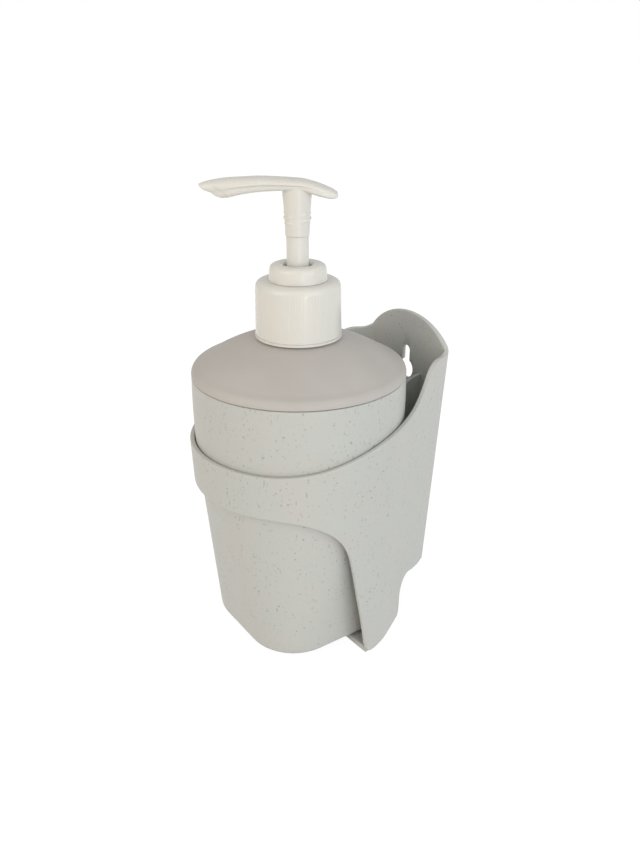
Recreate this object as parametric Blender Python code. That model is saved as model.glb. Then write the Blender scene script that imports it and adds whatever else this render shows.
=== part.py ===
"""Pump soap dispenser that hangs in a moulded wall holder.

Metres, +Z up.  The origin is the middle of the underside of the holder's floor strap.
The wall is on the +Y side and the open front of the holder faces -Y.  Every piece is
made with the pump's axis as Z and the cup's underside at 0, and is moved at the end.
"""
import math

import bmesh
import bpy
import numpy as np

# Clearances
TOUCH_GAP = 0.0003
RUNNING_GAP = 0.0001
CUT_OVERRUN = 0.002
WELD_DISTANCE = RUNNING_GAP / 100

# Cup: a rounded square at its base that becomes round higher up
CUP_BASE_HALF_SIDE = 0.0323
CUP_BASE_CORNER_RADIUS = 0.0218
CUP_BASE_EDGE_RADIUS = 0.0042
CUP_ROUND_HEIGHT = 0.075
CUP_ROUND_RADIUS = 0.0419
CUP_BELLY_RADIUS = 0.04285
CUP_RIM_RADIUS = 0.04265
CUP_RIM_HEIGHT = 0.1141
CUP_BELLY_SHARE = 0.74
CUP_WALL = 0.0017
CUP_FLOOR = 0.0022
CUP_FLOOR_CORNER = 0.0026

# Lid, seated on the cup's rim
LID_BOTTOM = CUP_RIM_HEIGHT + TOUCH_GAP
LID_EDGE_RADIUS = CUP_RIM_RADIUS + 0.00005
LID_EDGE_HEIGHT = 0.0006
LID_ROLL_REACH = 0.0027
LID_ROLL_RISE = 0.0031
LID_CONE_RISE = 0.0109
LID_CROWN_RISE = 0.0016
LID_WALL = 0.0018
LID_ROLL_BOTTOM = LID_BOTTOM + LID_EDGE_HEIGHT
LID_ROLL_TOP = LID_ROLL_BOTTOM + LID_ROLL_RISE
LID_CONE_OUTER = LID_EDGE_RADIUS - LID_ROLL_REACH
LID_CONE_TOP = LID_ROLL_TOP + LID_CONE_RISE
SKIRT_DEPTH = 0.0085
SKIRT_WALL = 0.0015
SKIRT_RADIUS = CUP_RIM_RADIUS - CUP_WALL - TOUCH_GAP * 2
SEAL_SECTION = 0.0016
SEAL_DROP = 0.0040
NECK_RADIUS = 0.0136
NECK_WALL = 0.0018
NECK_HEIGHT = 0.0170
NECK_TOP = LID_CONE_TOP + NECK_HEIGHT

# Pump housing, from its flange down to the socket of the dip tube
GASKET_THICKNESS = 0.0010
GASKET_BOTTOM = NECK_TOP + TOUCH_GAP
FLANGE_INSET = 0.0002
FLANGE_THICKNESS = 0.0014
FLANGE_RADIUS = NECK_RADIUS - FLANGE_INSET
FLANGE_BOTTOM = GASKET_BOTTOM + GASKET_THICKNESS + TOUCH_GAP
FLANGE_TOP = FLANGE_BOTTOM + FLANGE_THICKNESS
HUB_NECK_ROOM = 0.0016
HUB_WALL = 0.0020
HUB_RADIUS = NECK_RADIUS - NECK_WALL - HUB_NECK_ROOM
HUB_BORE = HUB_RADIUS - HUB_WALL
HUB_DEPTH = 0.0062
BARREL_BORE = 0.0060
BARREL_WALL = 0.0013
BARREL_RADIUS = BARREL_BORE + BARREL_WALL
BARREL_LENGTH = 0.0588
BALL_RADIUS = 0.0025
BALL_ROOM = 0.0008
BALL_CHAMBER_BORE = BALL_RADIUS + BALL_ROOM
BALL_CHAMBER_DEPTH = 0.0035
BALL_SEAT_DEPTH = 0.0020
INLET_BORE = 0.0015
INLET_LENGTH = 0.0015
DIP_TUBE_RADIUS = 0.0027
DIP_TUBE_WALL = 0.0009
DIP_TUBE_FLOOR_ROOM = 0.0028
SOCKET_BORE = DIP_TUBE_RADIUS + RUNNING_GAP
SOCKET_WALL = 0.0014
SOCKET_DEPTH = 0.0130
RETAINER_BORE = 0.0018
RETAINER_THICKNESS = 0.0014
RETAINER_RADIUS = BARREL_BORE - TOUCH_GAP

# Closure collar over the flange
COLLAR_CROWN = 0.0017
COLLAR_LID_ROOM = 0.0004
COLLAR_NECK_ROOM = 0.0006
COLLAR_BOTTOM = LID_CONE_TOP + COLLAR_LID_ROOM
COLLAR_TOP = FLANGE_TOP + TOUCH_GAP + COLLAR_CROWN
COLLAR_INNER_RADIUS = NECK_RADIUS + COLLAR_NECK_ROOM
COLLAR_WALL = 0.00225
COLLAR_DRAFT = 0.00055
COLLAR_TOP_RADIUS = COLLAR_INNER_RADIUS + COLLAR_WALL
COLLAR_BOTTOM_RADIUS = COLLAR_TOP_RADIUS + COLLAR_DRAFT
COLLAR_EDGE_RADIUS = 0.0028
COLLAR_LIP_HEIGHT = 0.0011
COLLAR_LIP_DEPTH = 0.00035
COLLAR_OPENING = HUB_RADIUS + TOUCH_GAP

# Heights of the housing, down from the collar's top
HUB_FLOOR = COLLAR_TOP - HUB_DEPTH
BARREL_BOTTOM = HUB_FLOOR - BARREL_LENGTH
BALL_SEAT_TOP = BARREL_BOTTOM - BALL_CHAMBER_DEPTH
BALL_SEAT_BOTTOM = BALL_SEAT_TOP - BALL_SEAT_DEPTH
INLET_BOTTOM = BALL_SEAT_BOTTOM - INLET_LENGTH
SOCKET_BOTTOM = INLET_BOTTOM - SOCKET_DEPTH
DIP_TUBE_BOTTOM = CUP_FLOOR + DIP_TUBE_FLOOR_ROOM
RETAINER_BOTTOM = BARREL_BOTTOM + TOUCH_GAP

# Stem, piston and outlet plug
STEM_RADIUS = 0.00425
STEM_STEP = 0.0011
STEM_WALL = 0.0011
STEM_NECK_RADIUS = STEM_RADIUS - STEM_STEP
STEM_BORE = STEM_NECK_RADIUS - STEM_WALL
STEM_REST_DEPTH = 0.0238
STEM_BOTTOM = HUB_FLOOR - STEM_REST_DEPTH
PISTON_FLOAT = 0.0012
PISTON_LENGTH = 0.0085
PISTON_LIP = 0.0008
STEM_SHOULDER = STEM_BOTTOM + PISTON_LENGTH + PISTON_FLOAT + TOUCH_GAP
PLUG_FLANGE_RADIUS = 0.0046
PLUG_FLANGE_THICKNESS = 0.0022
PLUG_PIN_ROOM = 0.0004
PLUG_PIN_RADIUS = STEM_BORE - PLUG_PIN_ROOM
PLUG_PIN_LENGTH = 0.0060
PLUG_TOP = STEM_BOTTOM - TOUCH_GAP

# Return spring, between the retainer and the plug's flange
SPRING_TURNS = 9
SPRING_POINTS_PER_TURN = 10
SPRING_WIRE_RADIUS = 0.00045
SPRING_INSET = 0.00015
SPRING_RADIUS = PLUG_FLANGE_RADIUS - SPRING_WIRE_RADIUS - SPRING_INSET

# Head: sleeve, then a saddle bar with the spout at one end and a thumb rest at the other
LOCK_RING_HEIGHT = 0.0070
LOCK_RING_TOP = COLLAR_TOP + LOCK_RING_HEIGHT
STEM_SHOW = 0.0100
SLEEVE_BOTTOM = LOCK_RING_TOP + STEM_SHOW
SLEEVE_LENGTH = 0.0163
SLEEVE_LIP = 0.00035
SLEEVE_FLARE = 0.00097
SLEEVE_FLARE_POWER = 1.6
SLEEVE_BOTTOM_RADIUS = STEM_RADIUS + SLEEVE_LIP
SLEEVE_TOP_RADIUS = SLEEVE_BOTTOM_RADIUS + SLEEVE_FLARE
SLEEVE_SOCKET_RADIUS = STEM_NECK_RADIUS + TOUCH_GAP
STEM_ENGAGEMENT = 0.0110
STEM_TOP = SLEEVE_BOTTOM + STEM_ENGAGEMENT
THREAD_CREST = 0.0004
THREAD_PLACE_SHARE = 0.30
THREAD_PITCH = 0.0023
THREAD_WIDTH = 0.0013
HEAD_UNDERSIDE = SLEEVE_BOTTOM + SLEEVE_LENGTH
HEAD_HEIGHT = 0.0050
HEAD_WIDTH = 0.0124
SPOUT_REACH = 0.0362
TAIL_REACH = 0.0148
SPOUT_TURN = math.radians(-35)
CHANNEL_RADIUS = 0.0016

# Lock ring: a top hat that closes the housing and guides the stem
LOCK_RING_RADIUS = 0.01115
LOCK_RING_SHOULDER = 0.0026
SLEEVE_ROOM = 0.0004
LOCK_RING_BORE = SLEEVE_TOP_RADIUS + THREAD_CREST + SLEEVE_ROOM
LOCK_RING_WELL = 0.0063

# Holder: plate, side walls, front band, legs, floor strap and two locating fins
HOLDER_WALL = 0.0019
PLATE_STANDOFF = 0.01725
PLATE_Y = CUP_BELLY_RADIUS + PLATE_STANDOFF
PLATE_CORNER_HALF_WIDTH = 0.0241
PLATE_NARROWING = 0.078
PLATE_ARCH_RISE = 0.0114
PLATE_BOTTOM_Z = 0.0078
BAND_BOTTOM_Z = 0.0700
BAND_HEIGHT = 0.0181
BAND_TOP_Z = BAND_BOTTOM_Z + BAND_HEIGHT
BAND_CUP_GAP = 0.00035
BAND_DRAFT = 0.050
PLATE_CORNER_RISE = 0.0289
PLATE_CORNER_Z = BAND_TOP_Z + PLATE_CORNER_RISE
STRAP_THICKNESS = 0.0026
STRAP_TOP = -TOUCH_GAP
STRAP_BOTTOM = STRAP_TOP - STRAP_THICKNESS
STRAP_FRONT_Y = 0.0040
STRAP_WIDTH = 0.0260
STRAP_BACK_Y = STRAP_FRONT_Y + STRAP_WIDTH
STRAP_MIDDLE_Y = STRAP_FRONT_Y + STRAP_WIDTH / 2
FIN_X = 0.0094
FIN_THICKNESS = 0.0018
FIN_TOP_Z = 0.1020
FIN_BOTTOM_Z = 0.0200
FIN_ROUND = 0.0090
FIN_CUP_GAP = 0.0006
KEYHOLE_Z = 0.1024
KEYHOLE_RADIUS = 0.0044
KEYHOLE_SLOT_RADIUS = 0.0021
KEYHOLE_SLOT_LENGTH = 0.0106
KEYHOLE_TOP_Z = KEYHOLE_Z + KEYHOLE_SLOT_LENGTH

# Edges of the holder's wall, from the plate's middle (station 0) past its corner (1)
# and the point where the side meets the round band (2) to the middle of the front (3).
# The second number is a share: of the climb from the band's top to the plate's corner.
TOP_EDGE_SHARES = (
    (1.00, 1.000), (1.09, 0.955), (1.215, 0.965), (1.29, 0.945), (1.33, 0.924), (1.37, 0.886),
    (1.40, 0.841), (1.425, 0.792), (1.45, 0.737), (1.485, 0.668), (1.525, 0.602), (1.58, 0.526),
    (1.68, 0.439), (1.79, 0.391), (1.895, 0.363), (2.00, 0.346), (2.05, 0.332), (2.125, 0.298),
    (2.21, 0.242), (2.31, 0.166), (2.42, 0.087), (2.52, 0.038), (2.625, 0.010), (2.735, 0.0),
    (3.00, 0.0),
)
# Lower edge behind the leg, as shares of the height from the strap to the step's top.
STEP_TOP_Z = 0.0160
STEP_SHARES = (
    (1.04, 0.58), (1.17, 0.66), (1.29, 0.77), (1.40, 0.885), (1.48, 0.965), (1.54, 0.99),
    (1.585, 0.965), (1.617, 0.90), (1.636, 0.80), (1.646, 0.68), (1.651, 0.50), (1.655, 0.30),
    (1.660, 0.12), (1.672, 0.03), (1.690, 0.0),
)
# Lower edge in front of the leg, as shares of the height from the strap to the band.
ARCH_SHARES = (
    (2.188, 0.0), (2.195, 0.055), (2.206, 0.13), (2.219, 0.215), (2.236, 0.32),
    (2.254, 0.42), (2.268, 0.51), (2.280, 0.585), (2.291, 0.655), (2.303, 0.72),
    (2.319, 0.775), (2.340, 0.825), (2.367, 0.868), (2.398, 0.904), (2.430, 0.930),
    (2.470, 0.955), (2.520, 0.978), (2.580, 0.992), (2.660, 1.0), (2.80, 1.0), (3.00, 1.0),
)
LEG_STATION_SHARES = (1.5, 2.3)
STATION_LEAST_STEP_SHARE = 0.0025

# Sections of the head from the thumb rest to the spout's tip: place along the bar,
# underside, top, width, how far the top leads the underside, and height of the side band.
# Places are shares of the reach on their side, the rest are shares of the head's sizes.
HEAD_SECTION_SHARES = (
    (-1.00, -0.55, -0.28, 0.56, 0.00, 0.40),
    (-0.96, -0.66, -0.09, 0.70, 0.00, 0.42),
    (-0.80, -0.66, 0.13, 0.80, 0.00, 0.45),
    (-0.50, -0.46, 0.47, 0.92, 0.00, 0.48),
    (-0.20, -0.14, 0.71, 0.98, 0.00, 0.50),
    (0.00, -0.06, 0.78, 1.00, 0.00, 0.50),
    (0.18, -0.06, 0.87, 0.98, 0.00, 0.50),
    (0.38, -0.14, 0.93, 0.90, 0.00, 0.50),
    (0.54, -0.28, 0.88, 0.84, 0.00, 0.48),
    (0.66, -0.46, 0.81, 0.80, 0.02, 0.45),
    (0.73, -0.57, 0.70, 0.77, 0.075, 0.43),
    (0.76, -0.57, 0.60, 0.72, 0.145, 0.42),
    (0.78, -0.49, 0.41, 0.60, 0.205, 0.42),
)
HEAD_CROWN_DEGREES = (20, 40, 60, 80)
HEAD_CROWN_POWER = 0.8
HEAD_SIDE_SHARES = ((0.80, 0.0), (0.95, 0.04), (1.0, 0.14))
CHANNEL_SHARES = ((0.0, 0.42), (0.30, 0.45), (0.60, 0.30), (0.85, 0.08), (1.10, -0.20))
SLEEVE_SINK_SHARE = 1 / 3

# Smoothness
ROUND_STEPS = 48
BARREL_STEPS = 32
LOCK_RING_STEPS = 40
SMALL_STEPS = 20
CORNER_STEPS = 10
WALL_ROWS = 2
SHARP_ANGLE = math.radians(35)


def clear_scene():
    """Remove whatever objects the file holds."""
    for item in list(bpy.data.objects):
        bpy.data.objects.remove(item, do_unlink=True)


def plastic(name, colour, roughness, metallic=0.0):
    """Return a Principled material with the given colour and roughness."""
    finish = bpy.data.materials.new(name)
    finish.use_nodes = True
    shader = finish.node_tree.nodes["Principled BSDF"]
    shader.inputs["Base Color"].default_value = (*colour, 1.0)
    shader.inputs["Roughness"].default_value = roughness
    shader.inputs["Metallic"].default_value = metallic
    finish.diffuse_color = (*colour, 1.0)
    return finish


def speckled_plastic():
    """Pale grey-green plastic with plant fibre in it."""
    return plastic("speckled_plastic", (0.58, 0.59, 0.56), 0.55)


def lid_plastic():
    """Warm grey matt plastic."""
    return plastic("lid_plastic", (0.48, 0.44, 0.41), 0.50)


def pump_plastic():
    """Milky white plastic."""
    return plastic("pump_plastic", (0.78, 0.78, 0.74), 0.35)


def seal_rubber():
    """Translucent soft seal."""
    return plastic("seal_rubber", (0.70, 0.70, 0.68), 0.60)


def spring_steel():
    """Bright spring wire."""
    return plastic("spring_steel", (0.62, 0.62, 0.63), 0.25, 1.0)


def tube_plastic():
    """Clear dip tube."""
    return plastic("tube_plastic", (0.80, 0.82, 0.82), 0.30)


def finish_mesh(name, build, finish):
    """Turn a bmesh into a named, smooth shaded object."""
    bmesh.ops.remove_doubles(build, verts=build.verts, dist=WELD_DISTANCE)
    bmesh.ops.recalc_face_normals(build, faces=build.faces)
    mesh = bpy.data.meshes.new(name)
    build.to_mesh(mesh)
    build.free()
    mesh.shade_smooth()
    mesh.set_sharp_from_angle(angle=SHARP_ANGLE)
    mesh.materials.append(finish)
    item = bpy.data.objects.new(name, mesh)
    bpy.context.scene.collection.objects.link(item)
    return item


def turned(name, outline, finish, steps=ROUND_STEPS):
    """Spin a closed outline of (radius, height) points about Z."""
    build = bmesh.new()
    corners = [build.verts.new((radius, 0.0, height)) for radius, height in outline]
    edges = [build.edges.new(pair) for pair in zip(corners, corners[1:] + corners[:1])]
    on_axis = [edge for edge in edges if max(abs(v.co.x) for v in edge.verts) == 0.0]
    bmesh.ops.delete(build, geom=on_axis, context="EDGES")
    bmesh.ops.spin(build, geom=build.verts[:] + build.edges[:], cent=(0, 0, 0), axis=(0, 0, 1),
                   angle=math.tau, steps=steps, use_merge=True)
    return finish_mesh(name, build, finish)


def arc(centre_radius, centre_height, radius, start, end, steps=6):
    """Return points of an arc, with angles in degrees from the outward direction."""
    angles = np.radians(np.linspace(start, end, steps + 1))
    return [(centre_radius + radius * math.cos(a), centre_height + radius * math.sin(a)) for a in angles]


def loft(name, rings, finish):
    """Join rings of equal length into one closed body and cap both ends."""
    build = bmesh.new()
    loops = [[build.verts.new(point) for point in ring] for ring in rings]
    for lower, upper in zip(loops, loops[1:]):
        count = len(lower)
        for i in range(count):
            j = (i + 1) % count
            build.faces.new((lower[i], lower[j], upper[j], upper[i]))
    build.faces.new(loops[0])
    build.faces.new(loops[-1])
    return finish_mesh(name, build, finish)


def prism(name, outline, low, high, axis):
    """Extrude a flat outline along the X, Y or Z axis between two places."""
    build = bmesh.new()
    places = {"X": lambda u, v, w: (w, u, v), "Y": lambda u, v, w: (u, w, v), "Z": lambda u, v, w: (u, v, w)}
    place = places[axis]
    base = build.faces.new([build.verts.new(place(u, v, low)) for u, v in outline])
    grown = bmesh.ops.extrude_face_region(build, geom=[base])
    shift = place(0.0, 0.0, high - low)
    moved = [v for v in grown["geom"] if isinstance(v, bmesh.types.BMVert)]
    bmesh.ops.translate(build, verts=moved, vec=shift)
    return finish_mesh(name, build, speckled_plastic())


def tube(name, points, radius, finish, resolution=1):
    """Return a round bar along points, as a curve with filled caps."""
    curve = bpy.data.curves.new(name, "CURVE")
    curve.dimensions = "3D"
    curve.bevel_depth = radius
    curve.bevel_resolution = resolution
    curve.use_fill_caps = True
    spline = curve.splines.new("POLY")
    spline.points.add(len(points) - 1)
    spline.points.foreach_set("co", np.column_stack([points, np.ones(len(points))]).ravel())
    curve.materials.append(finish)
    item = bpy.data.objects.new(name, curve)
    bpy.context.scene.collection.objects.link(item)
    return item


def as_mesh(item):
    """Replace a curve object by a mesh object of the same name and shape."""
    bpy.context.view_layer.update()
    name = item.name
    mesh = bpy.data.meshes.new_from_object(item)
    bpy.data.objects.remove(item, do_unlink=True)
    solid = bpy.data.objects.new(name, mesh)
    bpy.context.scene.collection.objects.link(solid)
    return solid


def hide_tool(item):
    """Mark an object as a cutter or an added shape that isn't a piece."""
    item.hide_render = True
    item.display_type = "WIRE"


def combine(item, other, operation):
    """Cut another shape from a piece, or add it to the piece."""
    change = item.modifiers.new(f"{operation.lower()}_{other.name}", "BOOLEAN")
    change.operation = operation
    change.solver = "EXACT"
    change.object = other
    other.parent = item
    hide_tool(other)


def smooth_path(points, steps):
    """Return a Catmull-Rom curve through points, steps to each span."""
    knots = np.array(points, dtype=float)
    padded = np.vstack([2 * knots[0] - knots[1], knots, 2 * knots[-1] - knots[-2]])
    t = np.linspace(0.0, 1.0, steps, endpoint=False)[:, None]
    spans = []
    for p0, p1, p2, p3 in zip(padded, padded[1:], padded[2:], padded[3:]):
        spans.append(0.5 * (2 * p1 + (p2 - p0) * t + (2 * p0 - 5 * p1 + 4 * p2 - p3) * t ** 2
                            + (3 * p1 - p0 - 3 * p2 + p3) * t ** 3))
    return np.vstack(spans + [knots[-1:]])


def cup_section(height):
    """Return the cup's half side and corner radius at a height."""
    if height <= CUP_ROUND_HEIGHT:
        share = height / CUP_ROUND_HEIGHT
        half_side = CUP_BASE_HALF_SIDE + (CUP_ROUND_RADIUS - CUP_BASE_HALF_SIDE) * share
        corner = CUP_BASE_CORNER_RADIUS + (CUP_ROUND_RADIUS - CUP_BASE_CORNER_RADIUS) * share
        return half_side, corner
    share = (height - CUP_ROUND_HEIGHT) / (CUP_RIM_HEIGHT - CUP_ROUND_HEIGHT)
    rise = CUP_BELLY_RADIUS - CUP_ROUND_RADIUS
    drop = CUP_RIM_RADIUS - CUP_ROUND_RADIUS
    bend = (drop - rise / CUP_BELLY_SHARE) / (1.0 - CUP_BELLY_SHARE)
    slope = rise / CUP_BELLY_SHARE - bend * CUP_BELLY_SHARE
    radius = CUP_ROUND_RADIUS + slope * share + bend * share ** 2
    return radius, radius


def rounded_square(half_side, corner, height):
    """Return a ring of points round a square with rounded corners."""
    steps = (np.arange(CORNER_STEPS + 1) + 0.5) / (CORNER_STEPS + 1)
    ring = []
    for quarter in range(4):
        angles = (quarter + steps) * math.pi / 2
        turn = math.pi / 4 + quarter * math.pi / 2
        offset = (half_side - corner) * math.sqrt(2)
        xs = offset * math.cos(turn) + corner * np.cos(angles)
        ys = offset * math.sin(turn) + corner * np.sin(angles)
        ring += [(x, y, height) for x, y in zip(xs, ys)]
    return ring


def build_cup(finish):
    """Speckled cup, open at the top."""
    edge = CUP_BASE_EDGE_RADIUS
    rings = []
    for angle in np.radians(np.linspace(0, 90, 6)):
        height = edge * (1 - math.cos(angle))
        inset = edge * (1 - math.sin(angle))
        half_side, corner = cup_section(height)
        rings.append(rounded_square(half_side - inset, corner - inset, height))
    heights = list(np.linspace(edge, CUP_ROUND_HEIGHT, 7)[1:])
    heights += list(np.linspace(CUP_ROUND_HEIGHT, CUP_RIM_HEIGHT, 7)[1:])
    rings += [rounded_square(*cup_section(height), height) for height in heights]
    floor_corner = CUP_FLOOR + CUP_FLOOR_CORNER
    inner_heights = [height for height in reversed(heights) if height > floor_corner]
    for height in inner_heights + [floor_corner, CUP_FLOOR]:
        half_side, corner = cup_section(height)
        inset = CUP_WALL + (CUP_FLOOR_CORNER if height == CUP_FLOOR else 0.0)
        rings.append(rounded_square(half_side - inset, corner - inset, height))
    return loft("cup_body", rings, finish)


def lid_height(radius, drop=0.0):
    """Return the height of the lid's cone, a little crowned, at a radius."""
    share = (LID_CONE_OUTER - radius) / (LID_CONE_OUTER - NECK_RADIUS)
    rise = LID_CONE_RISE * share + LID_CROWN_RISE * 4 * share * (1 - share)
    return LID_ROLL_TOP + rise - drop


def build_lid(finish):
    """Domed lid with its neck above and a plug skirt below."""
    roll = [(LID_CONE_OUTER + LID_ROLL_REACH * math.cos(a), LID_ROLL_BOTTOM + LID_ROLL_RISE * math.sin(a))
            for a in np.radians(np.linspace(0, 72, 6))]
    cone = [(radius, lid_height(radius)) for radius in np.linspace(LID_CONE_OUTER, NECK_RADIUS, 6)]
    under = [(radius, lid_height(radius, LID_WALL))
             for radius in np.linspace(NECK_RADIUS - NECK_WALL, SKIRT_RADIUS - SKIRT_WALL, 5)]
    skirt_bottom = LID_BOTTOM - SKIRT_DEPTH
    groove_top = LID_BOTTOM - SEAL_DROP + SEAL_SECTION / 2 + TOUCH_GAP / 2
    groove_bottom = LID_BOTTOM - SEAL_DROP - SEAL_SECTION / 2 - TOUCH_GAP / 2
    groove_radius = SKIRT_RADIUS - SEAL_SECTION / 2
    outline = [(LID_EDGE_RADIUS, LID_BOTTOM)] + roll + cone[1:]
    outline += [(NECK_RADIUS, NECK_TOP), (NECK_RADIUS - NECK_WALL, NECK_TOP)]
    outline += under
    outline += [(SKIRT_RADIUS - SKIRT_WALL, skirt_bottom), (SKIRT_RADIUS, skirt_bottom)]
    outline += [(SKIRT_RADIUS, groove_bottom), (groove_radius, groove_bottom)]
    outline += [(groove_radius, groove_top), (SKIRT_RADIUS, groove_top), (SKIRT_RADIUS, LID_BOTTOM)]
    return turned("lid_dome", outline, finish)


def build_lid_seal(finish):
    """Flat sided sealing ring in the skirt's groove."""
    inner = SKIRT_RADIUS - SEAL_SECTION / 2 + TOUCH_GAP / 2
    outer = SKIRT_RADIUS + TOUCH_GAP / 2
    middle = LID_BOTTOM - SEAL_DROP
    half = SEAL_SECTION / 2 - TOUCH_GAP / 2
    outline = [(inner, middle - half), (outer - half / 2, middle - half), (outer, middle),
               (outer - half / 2, middle + half), (inner, middle + half)]
    return turned("lid_seal_ring", outline, finish)


def build_collar(finish):
    """Closure collar with a thin lip round its lower edge."""
    edge = COLLAR_EDGE_RADIUS
    lip_top = COLLAR_BOTTOM + COLLAR_LIP_HEIGHT
    body_radius = COLLAR_BOTTOM_RADIUS - COLLAR_LIP_DEPTH
    ceiling = COLLAR_TOP - COLLAR_CROWN
    outline = [(COLLAR_INNER_RADIUS, COLLAR_BOTTOM), (COLLAR_BOTTOM_RADIUS, COLLAR_BOTTOM)]
    outline += [(COLLAR_BOTTOM_RADIUS, lip_top), (body_radius, lip_top + COLLAR_LIP_DEPTH)]
    outline += arc(COLLAR_TOP_RADIUS - edge, COLLAR_TOP - edge, edge, 0, 90)
    outline += [(COLLAR_OPENING, COLLAR_TOP), (COLLAR_OPENING, ceiling), (COLLAR_INNER_RADIUS, ceiling)]
    return turned("closure_collar", outline, finish)


def build_gasket(finish):
    """Flat washer between the neck and the housing's flange."""
    inner = HUB_RADIUS + TOUCH_GAP
    top = GASKET_BOTTOM + GASKET_THICKNESS
    outline = [(inner, GASKET_BOTTOM), (NECK_RADIUS, GASKET_BOTTOM), (NECK_RADIUS, top), (inner, top)]
    return turned("neck_gasket", outline, finish)


def build_housing(finish):
    """Pump cylinder with its flange, hub, ball seat and dip tube socket."""
    hub_wall_bottom = HUB_FLOOR - FLANGE_THICKNESS
    socket_radius = SOCKET_BORE + SOCKET_WALL
    chamber_radius = BALL_CHAMBER_BORE + SOCKET_WALL
    outline = [
        (SOCKET_BORE, SOCKET_BOTTOM), (socket_radius, SOCKET_BOTTOM), (socket_radius, INLET_BOTTOM),
        (chamber_radius, BALL_SEAT_BOTTOM), (chamber_radius, BARREL_BOTTOM - SOCKET_WALL),
        (BARREL_RADIUS, BARREL_BOTTOM - SOCKET_WALL / 2), (BARREL_RADIUS, hub_wall_bottom),
        (HUB_RADIUS, hub_wall_bottom), (HUB_RADIUS, FLANGE_BOTTOM), (FLANGE_RADIUS, FLANGE_BOTTOM),
        (FLANGE_RADIUS, FLANGE_TOP), (HUB_RADIUS, FLANGE_TOP), (HUB_RADIUS, COLLAR_TOP),
        (HUB_BORE, COLLAR_TOP), (HUB_BORE, HUB_FLOOR), (BARREL_BORE, HUB_FLOOR),
        (BARREL_BORE, BARREL_BOTTOM), (BALL_CHAMBER_BORE, BARREL_BOTTOM),
        (BALL_CHAMBER_BORE, BALL_SEAT_TOP), (INLET_BORE, BALL_SEAT_BOTTOM), (INLET_BORE, INLET_BOTTOM),
        (SOCKET_BORE, INLET_BOTTOM),
    ]
    return turned("pump_housing", outline, finish, BARREL_STEPS)


def ball_height():
    """Return the ball's centre height, a running gap above its conical seat."""
    run = BALL_CHAMBER_BORE - INLET_BORE
    rise = BALL_SEAT_TOP - BALL_SEAT_BOTTOM
    slant = math.hypot(run, rise)
    reach = BALL_RADIUS + RUNNING_GAP
    return BALL_SEAT_BOTTOM + (reach * slant - INLET_BORE * rise) / run


def build_ball(finish):
    """Inlet check ball."""
    centre = ball_height()
    outline = [(BALL_RADIUS * math.cos(a), centre + BALL_RADIUS * math.sin(a))
               for a in np.radians(np.linspace(-90, 90, 11))]
    outline[0] = (0.0, centre - BALL_RADIUS)
    outline[-1] = (0.0, centre + BALL_RADIUS)
    return turned("inlet_ball", outline, finish, SMALL_STEPS)


def build_retainer(finish):
    """Washer that keeps the ball in and carries the spring."""
    top = RETAINER_BOTTOM + RETAINER_THICKNESS
    outline = [(RETAINER_BORE, RETAINER_BOTTOM), (RETAINER_RADIUS, RETAINER_BOTTOM),
               (RETAINER_RADIUS, top), (RETAINER_BORE, top)]
    return turned("ball_retainer", outline, finish, BARREL_STEPS)


def build_dip_tube(finish):
    """Dip tube from the socket down to just above the cup's floor."""
    top = INLET_BOTTOM - TOUCH_GAP
    bore = DIP_TUBE_RADIUS - DIP_TUBE_WALL
    outline = [(bore, DIP_TUBE_BOTTOM), (DIP_TUBE_RADIUS, DIP_TUBE_BOTTOM),
               (DIP_TUBE_RADIUS, top), (bore, top)]
    return turned("dip_tube", outline, finish, SMALL_STEPS)


def build_lock_ring(finish):
    """Top hat ring over the collar that the stem slides through."""
    bottom = COLLAR_TOP + TOUCH_GAP
    shoulder = LOCK_RING_SHOULDER
    guide_bottom = HUB_FLOOR + TOUCH_GAP
    guide_top = LOCK_RING_TOP - LOCK_RING_WELL
    plug_radius = HUB_BORE - TOUCH_GAP
    guide_bore = STEM_RADIUS + TOUCH_GAP
    outline = [(plug_radius, bottom), (LOCK_RING_RADIUS, bottom)]
    outline += arc(LOCK_RING_RADIUS - shoulder, LOCK_RING_TOP - shoulder, shoulder, 0, 90)
    outline += [(LOCK_RING_BORE, LOCK_RING_TOP), (LOCK_RING_BORE, guide_top), (guide_bore, guide_top)]
    outline += [(guide_bore, guide_bottom), (plug_radius, guide_bottom)]
    return turned("lock_ring", outline, finish, LOCK_RING_STEPS)


def build_stem(finish):
    """Hollow stem that joins the piston to the head."""
    neck_top = SLEEVE_BOTTOM - TOUCH_GAP
    outline = [(STEM_BORE, STEM_BOTTOM), (STEM_NECK_RADIUS, STEM_BOTTOM), (STEM_NECK_RADIUS, STEM_SHOULDER),
               (STEM_RADIUS, STEM_SHOULDER), (STEM_RADIUS, neck_top), (STEM_NECK_RADIUS, neck_top),
               (STEM_NECK_RADIUS, STEM_TOP), (STEM_BORE, STEM_TOP)]
    return turned("pump_stem", outline, finish, BARREL_STEPS)


def build_piston(finish):
    """Sliding piston with a lip at each end, loose on the stem's neck."""
    inner = STEM_NECK_RADIUS + RUNNING_GAP
    outer = BARREL_BORE - RUNNING_GAP
    waist = outer - PISTON_LIP
    bottom = STEM_BOTTOM
    top = bottom + PISTON_LENGTH
    lip = PISTON_LIP * 2
    outline = [(inner, bottom), (outer, bottom), (outer, bottom + lip), (waist, bottom + lip * 2),
               (waist, top - lip * 2), (outer, top - lip), (outer, top), (inner, top)]
    return turned("piston", outline, finish, BARREL_STEPS)


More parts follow.
